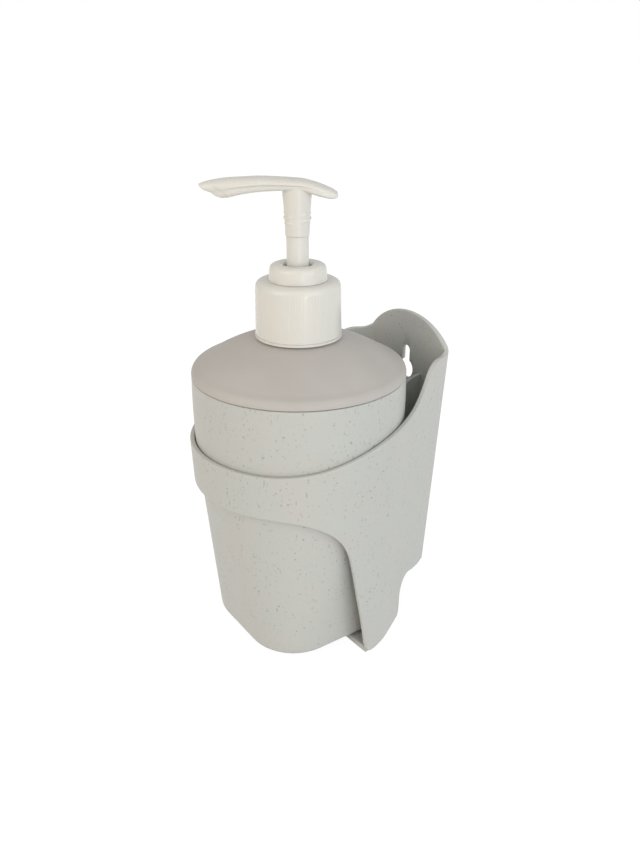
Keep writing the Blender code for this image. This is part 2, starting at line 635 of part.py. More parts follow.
def build_outlet_plug(finish):
    """Flanged plug in the stem's lower end that the piston seals against."""
    bottom = PLUG_TOP - PLUG_FLANGE_THICKNESS
    pin_top = PLUG_TOP + PLUG_PIN_LENGTH
    outline = [(0.0, bottom), (PLUG_FLANGE_RADIUS, bottom), (PLUG_FLANGE_RADIUS, PLUG_TOP),
               (PLUG_PIN_RADIUS, PLUG_TOP), (PLUG_PIN_RADIUS, pin_top), (0.0, pin_top)]
    return turned("outlet_plug", outline, finish, BARREL_STEPS)


def build_spring(finish):
    """Compression spring between the retainer and the outlet plug."""
    reach = SPRING_WIRE_RADIUS + TOUCH_GAP
    bottom = RETAINER_BOTTOM + RETAINER_THICKNESS + reach
    top = PLUG_TOP - PLUG_FLANGE_THICKNESS - reach
    turn = np.linspace(0.0, SPRING_TURNS, SPRING_TURNS * SPRING_POINTS_PER_TURN + 1)
    angle = turn * math.tau
    height = bottom + (top - bottom) * turn / SPRING_TURNS
    points = np.column_stack([SPRING_RADIUS * np.cos(angle), SPRING_RADIUS * np.sin(angle), height])
    pitch = (top - bottom) / SPRING_TURNS
    print(f"return_spring gap between turns {pitch - 2 * SPRING_WIRE_RADIUS:.4f} m")
    return tube("return_spring", points, SPRING_WIRE_RADIUS, finish)


def build_sleeve(finish):
    """Head's sleeve with two raised locking thread turns."""
    top = HEAD_UNDERSIDE + HEAD_HEIGHT * SLEEVE_SINK_SHARE

    def radius_at(height):
        share = min(1.0, (height - SLEEVE_BOTTOM) / SLEEVE_LENGTH)
        return SLEEVE_BOTTOM_RADIUS + SLEEVE_FLARE * share ** SLEEVE_FLARE_POWER

    outline = [(0.0, STEM_TOP + TOUCH_GAP), (SLEEVE_SOCKET_RADIUS, STEM_TOP + TOUCH_GAP)]
    outline += [(SLEEVE_SOCKET_RADIUS, SLEEVE_BOTTOM), (SLEEVE_BOTTOM_RADIUS, SLEEVE_BOTTOM)]
    for ridge in range(2):
        middle = SLEEVE_BOTTOM + SLEEVE_LENGTH * THREAD_PLACE_SHARE + ridge * THREAD_PITCH
        for step, crest in ((-1, 0.0), (-0.5, THREAD_CREST), (0.5, THREAD_CREST), (1, 0.0)):
            height = middle + step * THREAD_WIDTH / 2
            outline.append((radius_at(height) + crest, height))
    flare_start = outline[-1][1]
    for height in np.linspace(flare_start, HEAD_UNDERSIDE, 4)[1:]:
        outline.append((radius_at(height), height))
    outline += [(SLEEVE_TOP_RADIUS, top), (0.0, top)]
    return turned("head_sleeve", outline, finish, BARREL_STEPS)


def head_section(place, low, high, width, lead, band):
    """Return one closed section of the head's bar, looking along the bar."""
    reach = SPOUT_REACH if place > 0 else TAIL_REACH
    along = place * reach
    half = HEAD_WIDTH * width / 2
    bottom = HEAD_UNDERSIDE + HEAD_HEIGHT * low
    top = HEAD_UNDERSIDE + HEAD_HEIGHT * high
    tall = top - bottom
    left = [(-u, v) for u, v in HEAD_SIDE_SHARES] + [(-1.0, band)]
    left += [(-math.cos(a), band + (1 - band) * math.sin(a) ** HEAD_CROWN_POWER)
             for a in np.radians(HEAD_CROWN_DEGREES)]
    outline = left + [(-u, v) for u, v in reversed(left)]
    points = []
    for u, v in outline:
        distance = along + lead * SPOUT_REACH * v
        across = u * half
        x = distance * math.sin(SPOUT_TURN) + across * math.cos(SPOUT_TURN)
        y = -distance * math.cos(SPOUT_TURN) + across * math.sin(SPOUT_TURN)
        points.append((x, y, bottom + v * tall))
    return points


def build_head(finish):
    """Press head: saddle bar and sleeve in one moulding, with a bored spout."""
    sections = smooth_path([np.ravel(head_section(*row)) for row in HEAD_SECTION_SHARES], 2)
    head = loft("actuator_head", [row.reshape(-1, 3) for row in sections], finish)
    combine(head, build_sleeve(finish), "UNION")
    run = []
    for distance_share, height_share in CHANNEL_SHARES:
        distance = distance_share * SPOUT_REACH
        height = HEAD_UNDERSIDE + HEAD_HEIGHT * height_share
        run.append((distance * math.sin(SPOUT_TURN), -distance * math.cos(SPOUT_TURN), height))
    run.insert(0, (0.0, 0.0, STEM_TOP - CUT_OVERRUN))
    channel = as_mesh(tube("channel_cutter", np.array(run), CHANNEL_RADIUS, finish, 2))
    combine(head, channel, "DIFFERENCE")
    return head


def holder_radius(height):
    """Return the band's outer radius at a height: it clears the cup at the band's top."""
    cup_radius = cup_section(BAND_TOP_Z)[0]
    return cup_radius + BAND_CUP_GAP + HOLDER_WALL - BAND_DRAFT * (BAND_TOP_Z - height)


def holder_point(station, height, inset=0.0):
    """Return a point of the holder's wall, on the +X side, at a depth inside its outer face."""
    radius = holder_radius(height)
    half_width = PLATE_CORNER_HALF_WIDTH - PLATE_NARROWING * (PLATE_CORNER_Z - height)
    spread = math.hypot(half_width, PLATE_Y)
    facing = math.atan2(PLATE_Y, half_width) - math.acos(radius / spread)
    radius -= inset
    plate = PLATE_Y - inset
    corner = (radius - plate * math.sin(facing)) / math.cos(facing)
    touch = (radius * math.cos(facing), radius * math.sin(facing))
    if station <= 1:
        return corner * station, plate, height
    if station <= 2:
        share = station - 1
        return corner + (touch[0] - corner) * share, plate + (touch[1] - plate) * share, height
    angle = facing - (math.pi / 2 + facing) * (station - 2)
    return radius * math.cos(angle), radius * math.sin(angle), height


def arch_height(station):
    """Return the height of the plate's arched top at a station from its middle."""
    reach = PLATE_CORNER_HALF_WIDTH * station
    radius = (PLATE_CORNER_HALF_WIDTH ** 2 + PLATE_ARCH_RISE ** 2) / (2 * PLATE_ARCH_RISE)
    return PLATE_CORNER_Z + PLATE_ARCH_RISE - radius + math.sqrt(radius ** 2 - reach ** 2)


def holder_edges():
    """Return stations with the lower and upper edge of the wall at each."""
    climb = PLATE_CORNER_Z - BAND_TOP_Z
    step_rise = STEP_TOP_Z - STRAP_BOTTOM
    arch_rise = BAND_BOTTOM_Z - STRAP_BOTTOM
    upper = smooth_path([(s, BAND_TOP_Z + share * climb) for s, share in TOP_EDGE_SHARES], 2)
    plate = [(s, arch_height(s)) for s in np.linspace(0.0, 1.0, 11)[:-1]]
    upper = np.vstack([plate, upper])
    step = smooth_path([(s, STRAP_BOTTOM + share * step_rise) for s, share in STEP_SHARES], 2)
    arch = smooth_path([(s, STRAP_BOTTOM + share * arch_rise) for s, share in ARCH_SHARES], 2)
    lower = np.vstack([[(0.0, PLATE_BOTTOM_Z), (1.0, PLATE_BOTTOM_Z)], step, arch])
    stations = np.unique(np.round(np.concatenate([upper[:, 0], step[:, 0], arch[:, 0]]), 4))
    near = np.concatenate([[True], np.diff(stations) > STATION_LEAST_STEP_SHARE])
    stations = stations[near]
    lows = np.interp(stations, lower[:, 0], lower[:, 1])
    highs = np.interp(stations, upper[:, 0], upper[:, 1])
    return stations, lows, highs


def build_holder_wall(finish):
    """Plate, sides, band and legs as one closed wall of even thickness."""
    stations, lows, highs = holder_edges()
    columns = [(s, low, high, 1) for s, low, high in zip(stations, lows, highs)]
    columns += [(s, low, high, -1) for s, low, high in zip(stations, lows, highs)][-2:0:-1]
    build = bmesh.new()
    skins = []
    for inset in (0.0, HOLDER_WALL):
        skin = []
        for station, low, high, side in columns:
            line = []
            for height in np.linspace(low, high, WALL_ROWS + 1):
                x, y, z = holder_point(station, height, inset)
                line.append(build.verts.new((side * x, y, z)))
            skin.append(line)
        skins.append(skin)
    count = len(columns)
    for i in range(count):
        j = (i + 1) % count
        for skin in skins:
            for row in range(WALL_ROWS):
                build.faces.new((skin[i][row], skin[j][row], skin[j][row + 1], skin[i][row + 1]))
        for row in (0, WALL_ROWS):
            build.faces.new((skins[0][i][row], skins[0][j][row], skins[1][j][row], skins[1][i][row]))
    return finish_mesh("holder", build, finish)


def strap_outline():
    """Return the floor strap's outline, ending inside the thickness of the legs."""
    stations = np.linspace(*LEG_STATION_SHARES, 161)
    places = np.array([holder_point(s, STRAP_BOTTOM, HOLDER_WALL / 2)[:2] for s in stations])
    side = []
    for y in np.linspace(STRAP_FRONT_Y, STRAP_BACK_Y, 9):
        side.append((np.interp(y, places[::-1, 1], places[::-1, 0]), y))
    return side + [(-x, y) for x, y in reversed(side)]


def fin_outline():
    """Return the side view of a locating fin as (y, z) points."""
    root = PLATE_Y - HOLDER_WALL / 2
    front = []
    for height in np.linspace(FIN_BOTTOM_Z, FIN_TOP_Z - FIN_ROUND, 6):
        half_side, corner = cup_section(height)
        front.append((half_side + FIN_CUP_GAP, height))
    centre_y = front[-1][0] + FIN_ROUND
    centre_z = FIN_TOP_Z - FIN_ROUND
    crown = [(centre_y - FIN_ROUND * math.cos(a), centre_z + FIN_ROUND * math.sin(a))
             for a in np.radians(np.linspace(0, 90, 7))][1:]
    return [(root, FIN_BOTTOM_Z)] + front + crown + [(root, FIN_TOP_Z)]


def keyhole_outline():
    """Return the wall keyhole as (x, z) points: a round hole with a slot above it."""
    join = math.asin(KEYHOLE_SLOT_RADIUS / KEYHOLE_RADIUS)
    slot_z = KEYHOLE_TOP_Z - KEYHOLE_SLOT_RADIUS
    bulb = [(KEYHOLE_RADIUS * math.sin(a), KEYHOLE_Z + KEYHOLE_RADIUS * math.cos(a))
            for a in np.linspace(join, math.tau - join, 25)]
    cap = [(KEYHOLE_SLOT_RADIUS * math.cos(a), slot_z + KEYHOLE_SLOT_RADIUS * math.sin(a))
           for a in np.linspace(math.pi, 0, 9)]
    return bulb + cap


def build_holder(finish):
    """Wall holder in one moulding."""
    holder = build_holder_wall(finish)
    strap = prism("strap_shape", strap_outline(), STRAP_BOTTOM, STRAP_TOP, "Z")
    combine(holder, strap, "UNION")
    for side in (-1, 1):
        low = side * FIN_X - FIN_THICKNESS / 2
        fin = prism(f"fin_shape_{side + 2}", fin_outline(), low, low + FIN_THICKNESS, "X")
        combine(holder, fin, "UNION")
    front = PLATE_Y - HOLDER_WALL - CUT_OVERRUN
    keyhole = prism("keyhole_cutter", keyhole_outline(), front, PLATE_Y + CUT_OVERRUN, "Y")
    combine(holder, keyhole, "DIFFERENCE")
    return holder


def frame_empty(name, height, parent=None):
    """Return an empty on the pump's axis that carries a moving group."""
    empty = bpy.data.objects.new(name, None)
    bpy.context.scene.collection.objects.link(empty)
    empty.location = (0.0, 0.0, height)
    if parent is not None:
        carry(parent, empty)
    return empty


def carry(parent, *items):
    """Parent items to a frame and leave them where they are."""
    bpy.context.view_layer.update()
    for item in items:
        item.parent = parent
        item.matrix_parent_inverse = parent.matrix_world.inverted()


def build_dispenser():
    """Build every piece, hang the moving groups on their frames and set the origin."""
    speckled, white, rubber = speckled_plastic(), pump_plastic(), seal_rubber()
    base = frame_empty("dispenser_frame", 0.0)
    carry(base, build_holder(speckled))
    bottle = frame_empty("bottle_frame", 0.0, base)
    carry(bottle, build_cup(speckled), build_lid(lid_plastic()), build_lid_seal(rubber))
    pump = frame_empty("pump_frame", FLANGE_BOTTOM, bottle)
    carry(pump, build_gasket(rubber), build_housing(white), build_lock_ring(white))
    carry(pump, build_retainer(white), build_dip_tube(tube_plastic()), build_spring(spring_steel()))
    collar = frame_empty("collar_frame", COLLAR_TOP, pump)
    carry(collar, build_collar(white))
    ball = frame_empty("ball_frame", ball_height(), pump)
    carry(ball, build_ball(spring_steel()))
    plunger = frame_empty("plunger_frame", STEM_BOTTOM, pump)
    carry(plunger, build_outlet_plug(white))
    piston = frame_empty("piston_frame", STEM_BOTTOM, plunger)
    carry(piston, build_piston(rubber))
    head = frame_empty("head_frame", STEM_TOP, plunger)
    carry(head, build_stem(white), build_head(white))
    base.location = (0.0, -STRAP_MIDDLE_Y, -STRAP_BOTTOM)


clear_scene()
build_dispenser()
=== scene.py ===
"""Pump soap dispenser in its wall holder: fine pieces, finishes, light and camera.

Sizes are in metres.  Every fine piece is worked out with the pump's axis as Z and the
cup's underside at height 0, and is then moved to the place where the frame has the cup.
"""
import logging
import math
from dataclasses import dataclass
from enum import Enum
from typing import Callable, Optional, Sequence, Union

import bpy
import numpy as np
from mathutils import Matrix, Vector


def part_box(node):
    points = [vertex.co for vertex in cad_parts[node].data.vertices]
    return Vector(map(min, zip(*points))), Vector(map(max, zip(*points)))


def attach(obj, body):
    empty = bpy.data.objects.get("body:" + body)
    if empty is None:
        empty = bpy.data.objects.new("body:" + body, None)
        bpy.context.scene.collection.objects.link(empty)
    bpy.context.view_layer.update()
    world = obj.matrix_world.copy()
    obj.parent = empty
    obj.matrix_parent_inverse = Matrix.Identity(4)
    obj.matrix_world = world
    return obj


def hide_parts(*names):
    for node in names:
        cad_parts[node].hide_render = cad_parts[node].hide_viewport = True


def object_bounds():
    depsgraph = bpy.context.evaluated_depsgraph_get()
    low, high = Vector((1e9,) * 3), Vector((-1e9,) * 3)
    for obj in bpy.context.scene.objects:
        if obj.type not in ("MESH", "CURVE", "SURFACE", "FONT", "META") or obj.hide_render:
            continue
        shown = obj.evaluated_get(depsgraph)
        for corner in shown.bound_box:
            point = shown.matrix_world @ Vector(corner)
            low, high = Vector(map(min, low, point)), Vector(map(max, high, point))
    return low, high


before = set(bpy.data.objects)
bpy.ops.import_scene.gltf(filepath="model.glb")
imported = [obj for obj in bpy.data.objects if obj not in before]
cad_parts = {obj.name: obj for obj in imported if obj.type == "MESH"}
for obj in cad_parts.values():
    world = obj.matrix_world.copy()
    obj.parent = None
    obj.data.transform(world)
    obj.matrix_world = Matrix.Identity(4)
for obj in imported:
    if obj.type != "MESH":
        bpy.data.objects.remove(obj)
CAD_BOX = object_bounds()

LOG = logging.getLogger("dispenser")
TAU = math.tau
MM = 0.001
SMOOTH_LIMIT = math.radians(38)
FLOOR_GAP = 0.05 * MM
POLE_SPREAD = 1e-9
REPEAT_LIMIT = 1e-8
TINY_LENGTH = 1e-12

CUP_LOW, CUP_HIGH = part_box("cup_body")
PLACE = np.array([(CUP_LOW.x + CUP_HIGH.x) / 2, (CUP_LOW.y + CUP_HIGH.y) / 2, CUP_LOW.z])

Relief = Callable[[np.ndarray, np.ndarray, np.ndarray], np.ndarray]
Colour = tuple[float, float, float]


class Body(Enum):
    """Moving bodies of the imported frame."""

    ROOT = "root"
    BOTTLE = "bottle"
    PUMP = "pump"
    COLLAR = "collar"
    HEAD = "head"


class Slot(Enum):
    """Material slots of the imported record."""

    SPECKLED = "speckled"
    LID = "lid"
    PUMP_WHITE = "pump_white"


@dataclass
class Surface:
    """A closed surface.

    Attributes:
        points: vertex places, one row each.
        faces: vertex numbers of each face.
    """

    points: np.ndarray
    faces: list[list[int]]

    def outward(self) -> "Surface":
        """Turn every face round if the surface encloses a negative volume.

        The volume is a sixth of the sum of the triple products of each fan triangle.

        Returns:
            The surface with its faces pointing outwards.
        """
        total = 0.0
        sizes = np.array([len(face) for face in self.faces])
        for size in np.unique(sizes):
            block = np.array([face for face in self.faces if len(face) == size])
            first = self.points[block[:, 0]]
            for k in range(1, size - 1):
                second, third = self.points[block[:, k]], self.points[block[:, k + 1]]
                total += float(np.einsum("ij,ij->", first, np.cross(second, third)))
        if total < 0:
            self.faces = [face[::-1] for face in self.faces]
        return self

    def mesh(self, name: str) -> bpy.types.Mesh:
        """Make a Blender mesh of the surface, moved to the cup's place.

        Args:
            name: name of the mesh.

        Returns:
            The mesh.
        """
        mesh = bpy.data.meshes.new(name)
        mesh.from_pydata((self.points + PLACE).tolist(), [], self.faces)
        mesh.update()
        return mesh


def grid(rows: np.ndarray, rows_closed: bool = False) -> Surface:
    """Join a grid of points into a closed surface, each row being a closed ring.

    A first or last row whose points all lie in one place becomes a pole, and any other
    open end becomes one flat face.

    Args:
        rows: points as (row, place round the ring, xyz).
        rows_closed: whether the last row joins the first.

    Returns:
        The closed surface with its faces outwards.
    """
    count, around = rows.shape[:2]
    index = np.arange(count * around).reshape(count, around)
    here = index if rows_closed else index[:-1]
    above = np.roll(index, -1, axis=0) if rows_closed else index[1:]
    right = np.roll(here, -1, axis=1)
    above_right = np.roll(above, -1, axis=1)
    quads = np.stack([here, right, above_right, above], axis=-1)
    spread = np.ptp(rows, axis=1).max(axis=1)
    points = rows.reshape(-1, 3)
    faces: list[list[int]] = []
    if rows_closed:
        return Surface(points, quads.reshape(-1, 4).tolist()).outward()
    first_pole, last_pole = spread[0] < POLE_SPREAD, spread[-1] < POLE_SPREAD
    low, high = (1 if first_pole else 0), (len(quads) - 1 if last_pole else len(quads))
    faces += quads[low:high].reshape(-1, 4).tolist()
    if first_pole:
        tip = quads[0, :, 0] * 0 + index[0, 0]
        faces += np.stack([tip, quads[0, :, 2], quads[0, :, 3]], axis=-1).tolist()
    else:
        faces.append(index[0][::-1].tolist())
    if last_pole:
        tip = quads[-1, :, 0] * 0 + index[-1, 0]
        faces += np.stack([quads[-1, :, 0], quads[-1, :, 1], tip], axis=-1).tolist()
    else:
        faces.append(index[-1].tolist())
    used = np.unique(np.concatenate([np.array(face) for face in faces]))
    renumber = np.full(len(points), -1)
    renumber[used] = np.arange(len(used))
    faces = [renumber[face].tolist() for face in faces]
    return Surface(points[used], faces).outward()


def rounded(corners: Sequence[tuple[float, float, float]], closed: bool,
            steps: int = 5) -> np.ndarray:
    """Round the corners of an outline.

    Each corner P with reach d becomes the curve (1-t)^2 A + 2t(1-t) P + t^2 B, where A and
    B lie d before and after it on the outline.

    Args:
        corners: across, height and reach of each corner.
        closed: whether the last corner joins the first.
        steps: spans of each rounded corner.

    Returns:
        Points of the outline, without repeats.
    """
    table = np.array(corners, dtype=float)
    place, reach = table[:, :2], table[:, 2:]
    before, after = np.roll(place, 1, axis=0) - place, np.roll(place, -1, axis=0) - place
    if not closed:
        reach[0] = reach[-1] = 0.0
    before /= np.maximum(np.linalg.norm(before, axis=1, keepdims=True), TINY_LENGTH)
    after /= np.maximum(np.linalg.norm(after, axis=1, keepdims=True), TINY_LENGTH)
    t = np.linspace(0.0, 1.0, steps + 1)[None, :, None]
    start, end = (place + before * reach)[:, None], (place + after * reach)[:, None]
    path = ((1 - t) ** 2 * start + 2 * t * (1 - t) * place[:, None] + t ** 2 * end).reshape(-1, 2)
    fresh = np.concatenate([[True], np.linalg.norm(np.diff(path, axis=0), axis=1) > REPEAT_LIMIT])
    return path[fresh]


def refined(path: np.ndarray, spacing: float, closed: bool) -> np.ndarray:
    """Add points to an outline so that no span is longer than a spacing.

    Points are interpolated at even lengths along the outline, and its corners are kept.

    Args:
        path: outline points.
        spacing: longest span wanted.
        closed: whether the outline is closed.

    Returns:
        The finer outline.
    """
    if closed:
        path = np.vstack([path, path[:1]])
    length = np.concatenate([[0.0], np.cumsum(np.linalg.norm(np.diff(path, axis=0), axis=1))])
    even = np.arange(0.0, length[-1], spacing)
    nearest = np.abs(even[:, None] - length[None, :]).min(axis=1)
    stops = np.sort(np.concatenate([length, even[nearest > spacing * 0.35]]))
    fine = np.column_stack([np.interp(stops, length, path[:, k]) for k in range(path.shape[1])])
    return fine[:-1] if closed else fine


def smooth_path(points: Sequence[Sequence[float]], steps: int) -> np.ndarray:
    """Work out a Catmull-Rom curve through points.

    Each span is half of 2B + (C-A)t + (2A-5B+4C-D)t^2 + (3B-A-3C+D)t^3.

    Args:
        points: the points that the curve passes through.
        steps: steps of each span.

    Returns:
        Points of the curve, with the last of those given at its end.
    """
    knots = np.array(points, dtype=float)
    a = np.vstack([2 * knots[0] - knots[1], knots[:-2]])
    b, c = knots[:-1], knots[1:]
    d = np.vstack([knots[2:], 2 * knots[-1] - knots[-2]])
    t = np.linspace(0.0, 1.0, steps, endpoint=False)[None, :, None]
    a, b, c, d = (part[:, None] for part in (a, b, c, d))
    spans = 0.5 * (2 * b + (c - a) * t + (2 * a - 5 * b + 4 * c - d) * t ** 2
                   + (3 * b - a - 3 * c + d) * t ** 3)
    return np.vstack([spans.reshape(-1, knots.shape[1]), knots[-1:]])


def revolve(profile: np.ndarray, columns: int, closed: bool,
            relief: Optional[Relief] = None) -> Surface:
    """Spin an outline of (radius, height) about Z.

    A point is (r cos a, r sin a, z), with the relief added to r.

    Args:
        profile: outline; an open one starts and ends on the axis.
        columns: steps round the axis.
        closed: whether the outline is a closed loop.
        relief: radius to add at a radius, height and angle.

    Returns:
        The closed surface.
    """
    angle = np.linspace(0.0, TAU, columns, endpoint=False)[None]
    radius, height = profile[:, :1], profile[:, 1:]
    if relief is not None:
        radius = radius + relief(radius, height, angle)
    rows = np.stack([radius * np.cos(angle), radius * np.sin(angle), height + angle * 0.0], axis=-1)
    return grid(rows, rows_closed=closed)


def window(value: np.ndarray, low: float, high: float, fade: float) -> np.ndarray:
    """Return 1 between two limits, falling smoothly to 0 over a distance outside them."""
    share = np.clip(np.minimum(value - low + fade, high + fade - value) / fade, 0.0, 1.0)
    return share * share * (3 - 2 * share)


def temporary(name: str, surface: Surface) -> bpy.types.Object:
    """Link an object of a surface, for a Boolean.

    Args:
        name: name of the object and its mesh.
        surface: its shape.

    Returns:
        The linked object.
    """
    item = bpy.data.objects.new(name, surface.mesh(name))
    bpy.context.scene.collection.objects.link(item)
    return item


def solved(name: str, base: Surface, joined: Sequence[Surface],
           cut: Sequence[Surface]) -> bpy.types.Mesh:
    """Join and cut surfaces.

    Args:
        name: name of the mesh.
        base: the surface to start from.
        joined: surfaces to add.
        cut: surfaces to take away.

    Returns:
        The mesh that is left.
    """
    item = temporary(name + "_base", base)
    others = []
    for operation, surfaces in (("UNION", joined), ("DIFFERENCE", cut)):
        for number, surface in enumerate(surfaces):
            other = temporary(f"{name}_{operation.lower()}_{number}", surface)
            change = item.modifiers.new(other.name, "BOOLEAN")
            change.operation, change.solver, change.object = operation, "MANIFOLD", other
            others.append(other)
    depsgraph = bpy.context.evaluated_depsgraph_get()
    mesh = bpy.data.meshes.new_from_object(item.evaluated_get(depsgraph))
    mesh.name = name
    for other in others + [item]:
        bpy.data.objects.remove(other, do_unlink=True)
    return mesh


class Signal:
    """A socket that takes part in Python expressions on values."""

    def __init__(self, graph: "Graph", socket: bpy.types.NodeSocket) -> None:
        """Wrap a node's output socket."""
        self.graph = graph
        self.socket = socket

    def _maths(self, operation: str, first: "Operand", second: "Operand") -> "Signal":
        """Return the result of a Math node."""
        return self.graph.add("ShaderNodeMath", {"operation": operation}, {0: first, 1: second})

    def __add__(self, other: "Operand") -> "Signal":
        """Add."""
        return self._maths("ADD", self, other)

    def __sub__(self, other: "Operand") -> "Signal":
        """Subtract."""
        return self._maths("SUBTRACT", self, other)

    def __rsub__(self, other: "Operand") -> "Signal":
        """Subtract from a number."""
        return self._maths("SUBTRACT", other, self)

    def __mul__(self, other: "Operand") -> "Signal":
        """Multiply."""
        return self._maths("MULTIPLY", self, other)

    def __lt__(self, other: "Operand") -> "Signal":
        """Return 1 where this is less than the other, else 0."""
        return self._maths("LESS_THAN", self, other)

    __radd__ = __add__
    __rmul__ = __mul__

    def step(self, start: float, end: float) -> "Signal":
        """Return a smooth rise from 0 at start to 1 at end."""
        return self.graph.add("ShaderNodeMapRange", {"interpolation_type": "SMOOTHSTEP"},
                              {0: self, 1: start, 2: end, 3: 0.0, 4: 1.0})

    def scaled(self, scale: Sequence[float], turn: Sequence[float] = (0, 0, 0)) -> "Signal":
        """Return a vector turned and stretched by a Mapping node."""
        return self.graph.add("ShaderNodeMapping", {}, {0: self, 2: tuple(turn), 3: tuple(scale)})

    def blended(self, low: "Tint", high: "Tint") -> "Signal":
        """Return a colour between two, with this as the share of the second."""
        return self.graph.add("ShaderNodeMix", {"data_type": "RGBA"}, {0: self, 6: low, 7: high}, 2)

    def channel(self, number: int) -> "Signal":
        """Return one channel of a colour."""
        return self.graph.add("ShaderNodeSeparateColor", {}, {0: self}, number)


Operand = Union[Signal, float]
Tint = Union[Signal, Colour]


class Graph:
    """The nodes of one material."""

    def __init__(self, name: str) -> None:
        """Start a material with an output and nothing else.

        Args:
            name: name of the material.
        """
        self.material = bpy.data.materials.new(name)
        self.material.use_nodes = True
        self.tree = self.material.node_tree
        self.tree.nodes.clear()
        self.output = self.tree.nodes.new("ShaderNodeOutputMaterial")

    def add(self, kind: str, settings: dict, values: dict, out: Union[int, str] = 0) -> Signal:
        """Make a node.

        Args:
            kind: the node's type.
            settings: attributes set before anything else.
            values: a number, colour or signal for each input, by number or name.
            out: the output to return.

        Returns:
            The output as a signal.
        """
        node = self.tree.nodes.new(kind)
        for key, value in settings.items():
            setattr(node, key, value)
        for key, value in values.items():
            socket = node.inputs[key]
            if isinstance(value, Signal):
                self.tree.links.new(value.socket, socket)
            elif socket.type == "RGBA":
                socket.default_value = (*value, 1.0)
            else:
                socket.default_value = value
        return Signal(self, node.outputs[out])

    def coordinates(self) -> Signal:
        """Return the object's own coordinates, in metres."""
        return self.add("ShaderNodeTexCoord", {}, {}, "Object")

    def noise(self, vector: Signal, scale: float, detail: float = 2.0) -> Signal:
        """Return noise from 0 to 1 at a number of grains a metre."""
        return self.add("ShaderNodeTexNoise", {},
                        {"Vector": vector, "Scale": scale, "Detail": detail})

    def bump(self, height: Operand, strength: float, distance: float) -> Signal:
        """Return a normal bent by a height."""
        return self.add("ShaderNodeBump", {},
                        {"Height": height, "Strength": strength, "Distance": distance}, "Normal")

    def finish(self, shader: Signal) -> bpy.types.Material:
        """Send a shader to the output and return the material."""
        self.tree.links.new(shader.socket, self.output.inputs["Surface"])
        return self.material


def principled(graph: Graph, **values: object) -> bpy.types.Material:
    """Finish a material with a Principled shader whose inputs are named with underscores."""
    inputs = {key.replace("_", " "): value for key, value in values.items()}
    return graph.finish(graph.add("ShaderNodeBsdfPrincipled", {}, inputs))


@dataclass(frozen=True)
class FleckLayer:
    """One kind of plant fibre fleck.

    Attributes:
        cell: distance between flecks.
        radius: half a fleck's length across its middle.
        stretch: how much longer it is one way.
        turn: how the longer way is turned.
        keep: share of the flecks that are there.
        depth: how dark it is, from 0 to 1.
    """

    cell: float
    radius: float
    stretch: tuple[float, float, float]
    turn: tuple[float, float, float]
    keep: float
    depth: float

    def mask(self, graph: Graph, place: Signal) -> Signal:
        """Work out the layer's darkness over the surface.

        A fleck is where the distance to a Voronoi point is under the radius, and a cell's
        random colour thins the flecks and varies how large and dark they are.

        Args:
            graph: the material's nodes.
            place: where on the object the surface is.

        Returns:
            Darkness from 0 to the layer's depth.
        """
        scale = tuple(1.0 / (self.cell * part) for part in self.stretch)
        cells = place.scaled(scale, self.turn)
        inputs = {"Vector": cells, "Scale": 1.0}
        near = graph.add("ShaderNodeTexVoronoi", {"feature": "F1"}, inputs, "Distance")
        chance = graph.add("ShaderNodeTexVoronoi", {"feature": "F1"}, inputs, "Color")
        size = self.radius / self.cell
        shape = 1.0 - (near - chance.channel(1) * (size * 0.6)).step(size * 0.35, size * 0.95)
        kept = shape * (chance.channel(0) < self.keep)
        return kept * (chance.channel(2) * 0.6 + 0.4) * self.depth


FLECKS = (
    FleckLayer(2.2 * MM, 0.38 * MM, (1.0, 1.0, 1.0), (0.0, 0.0, 0.0), 0.60, 0.56),
    FleckLayer(1.5 * MM, 0.29 * MM, (1.0, 1.0, 1.5), (0.5, 0.9, 0.2), 0.72, 0.36),
    FleckLayer(3.4 * MM, 0.42 * MM, (0.50, 0.50, 2.5), (0.9, -0.4, 0.7), 0.66, 0.46),
    FleckLayer(3.6 * MM, 0.42 * MM, (2.4, 0.5, 0.5), (0.3, 0.8, -0.9), 0.60, 0.44),
)


@dataclass(frozen=True)
class SpeckledPlastic:
    """Pale grey-green plastic with plant fibre in it."""

    name: str = "speckled_plastic"
    cool: Colour = (0.545, 0.565, 0.540)
    warm: Colour = (0.558, 0.560, 0.533)
    fleck: Colour = (0.150, 0.155, 0.145)
    dusk: Colour = (0.43, 0.44, 0.42)
    roughness: float = 0.46
    mottle_grains: float = 55.0
    skin_grains: float = 900.0
    clump_grains: float = 130.0

    def build(self) -> bpy.types.Material:
        """Make the material: two close tones, four layers of flecks and a fine skin.

        Returns:
            The material.
        """
        graph = Graph(self.name)
        place = graph.coordinates()
        mottle = graph.noise(place, self.mottle_grains, 3.0).step(0.35, 0.65)
        grain = graph.noise(place, self.skin_grains, 2.0)
        base = mottle.blended(self.cool, self.warm)
        base = (grain.step(0.2, 0.8) * 0.10).blended(base, self.dusk)
        clump = graph.noise(place, self.clump_grains, 1.0).step(0.36, 0.60) * 0.75 + 0.25
        darkness: Operand = 0.0
        for layer in FLECKS:
            mask = layer.mask(graph, place)
            darkness = mask if isinstance(darkness, float) else graph.add(
                "ShaderNodeMath", {"operation": "MAXIMUM"}, {0: darkness, 1: mask})
        tinted = (darkness * clump).blended(base, self.fleck)
        height = graph.noise(place, 1400.0, 3.0) + graph.noise(place, 260.0, 2.0) * 1.5
        return principled(
            graph, Base_Color=tinted, Roughness=grain * 0.10 + (self.roughness - 0.05),
            Normal=graph.bump(height, 0.22, 0.00006), Specular_IOR_Level=0.42)


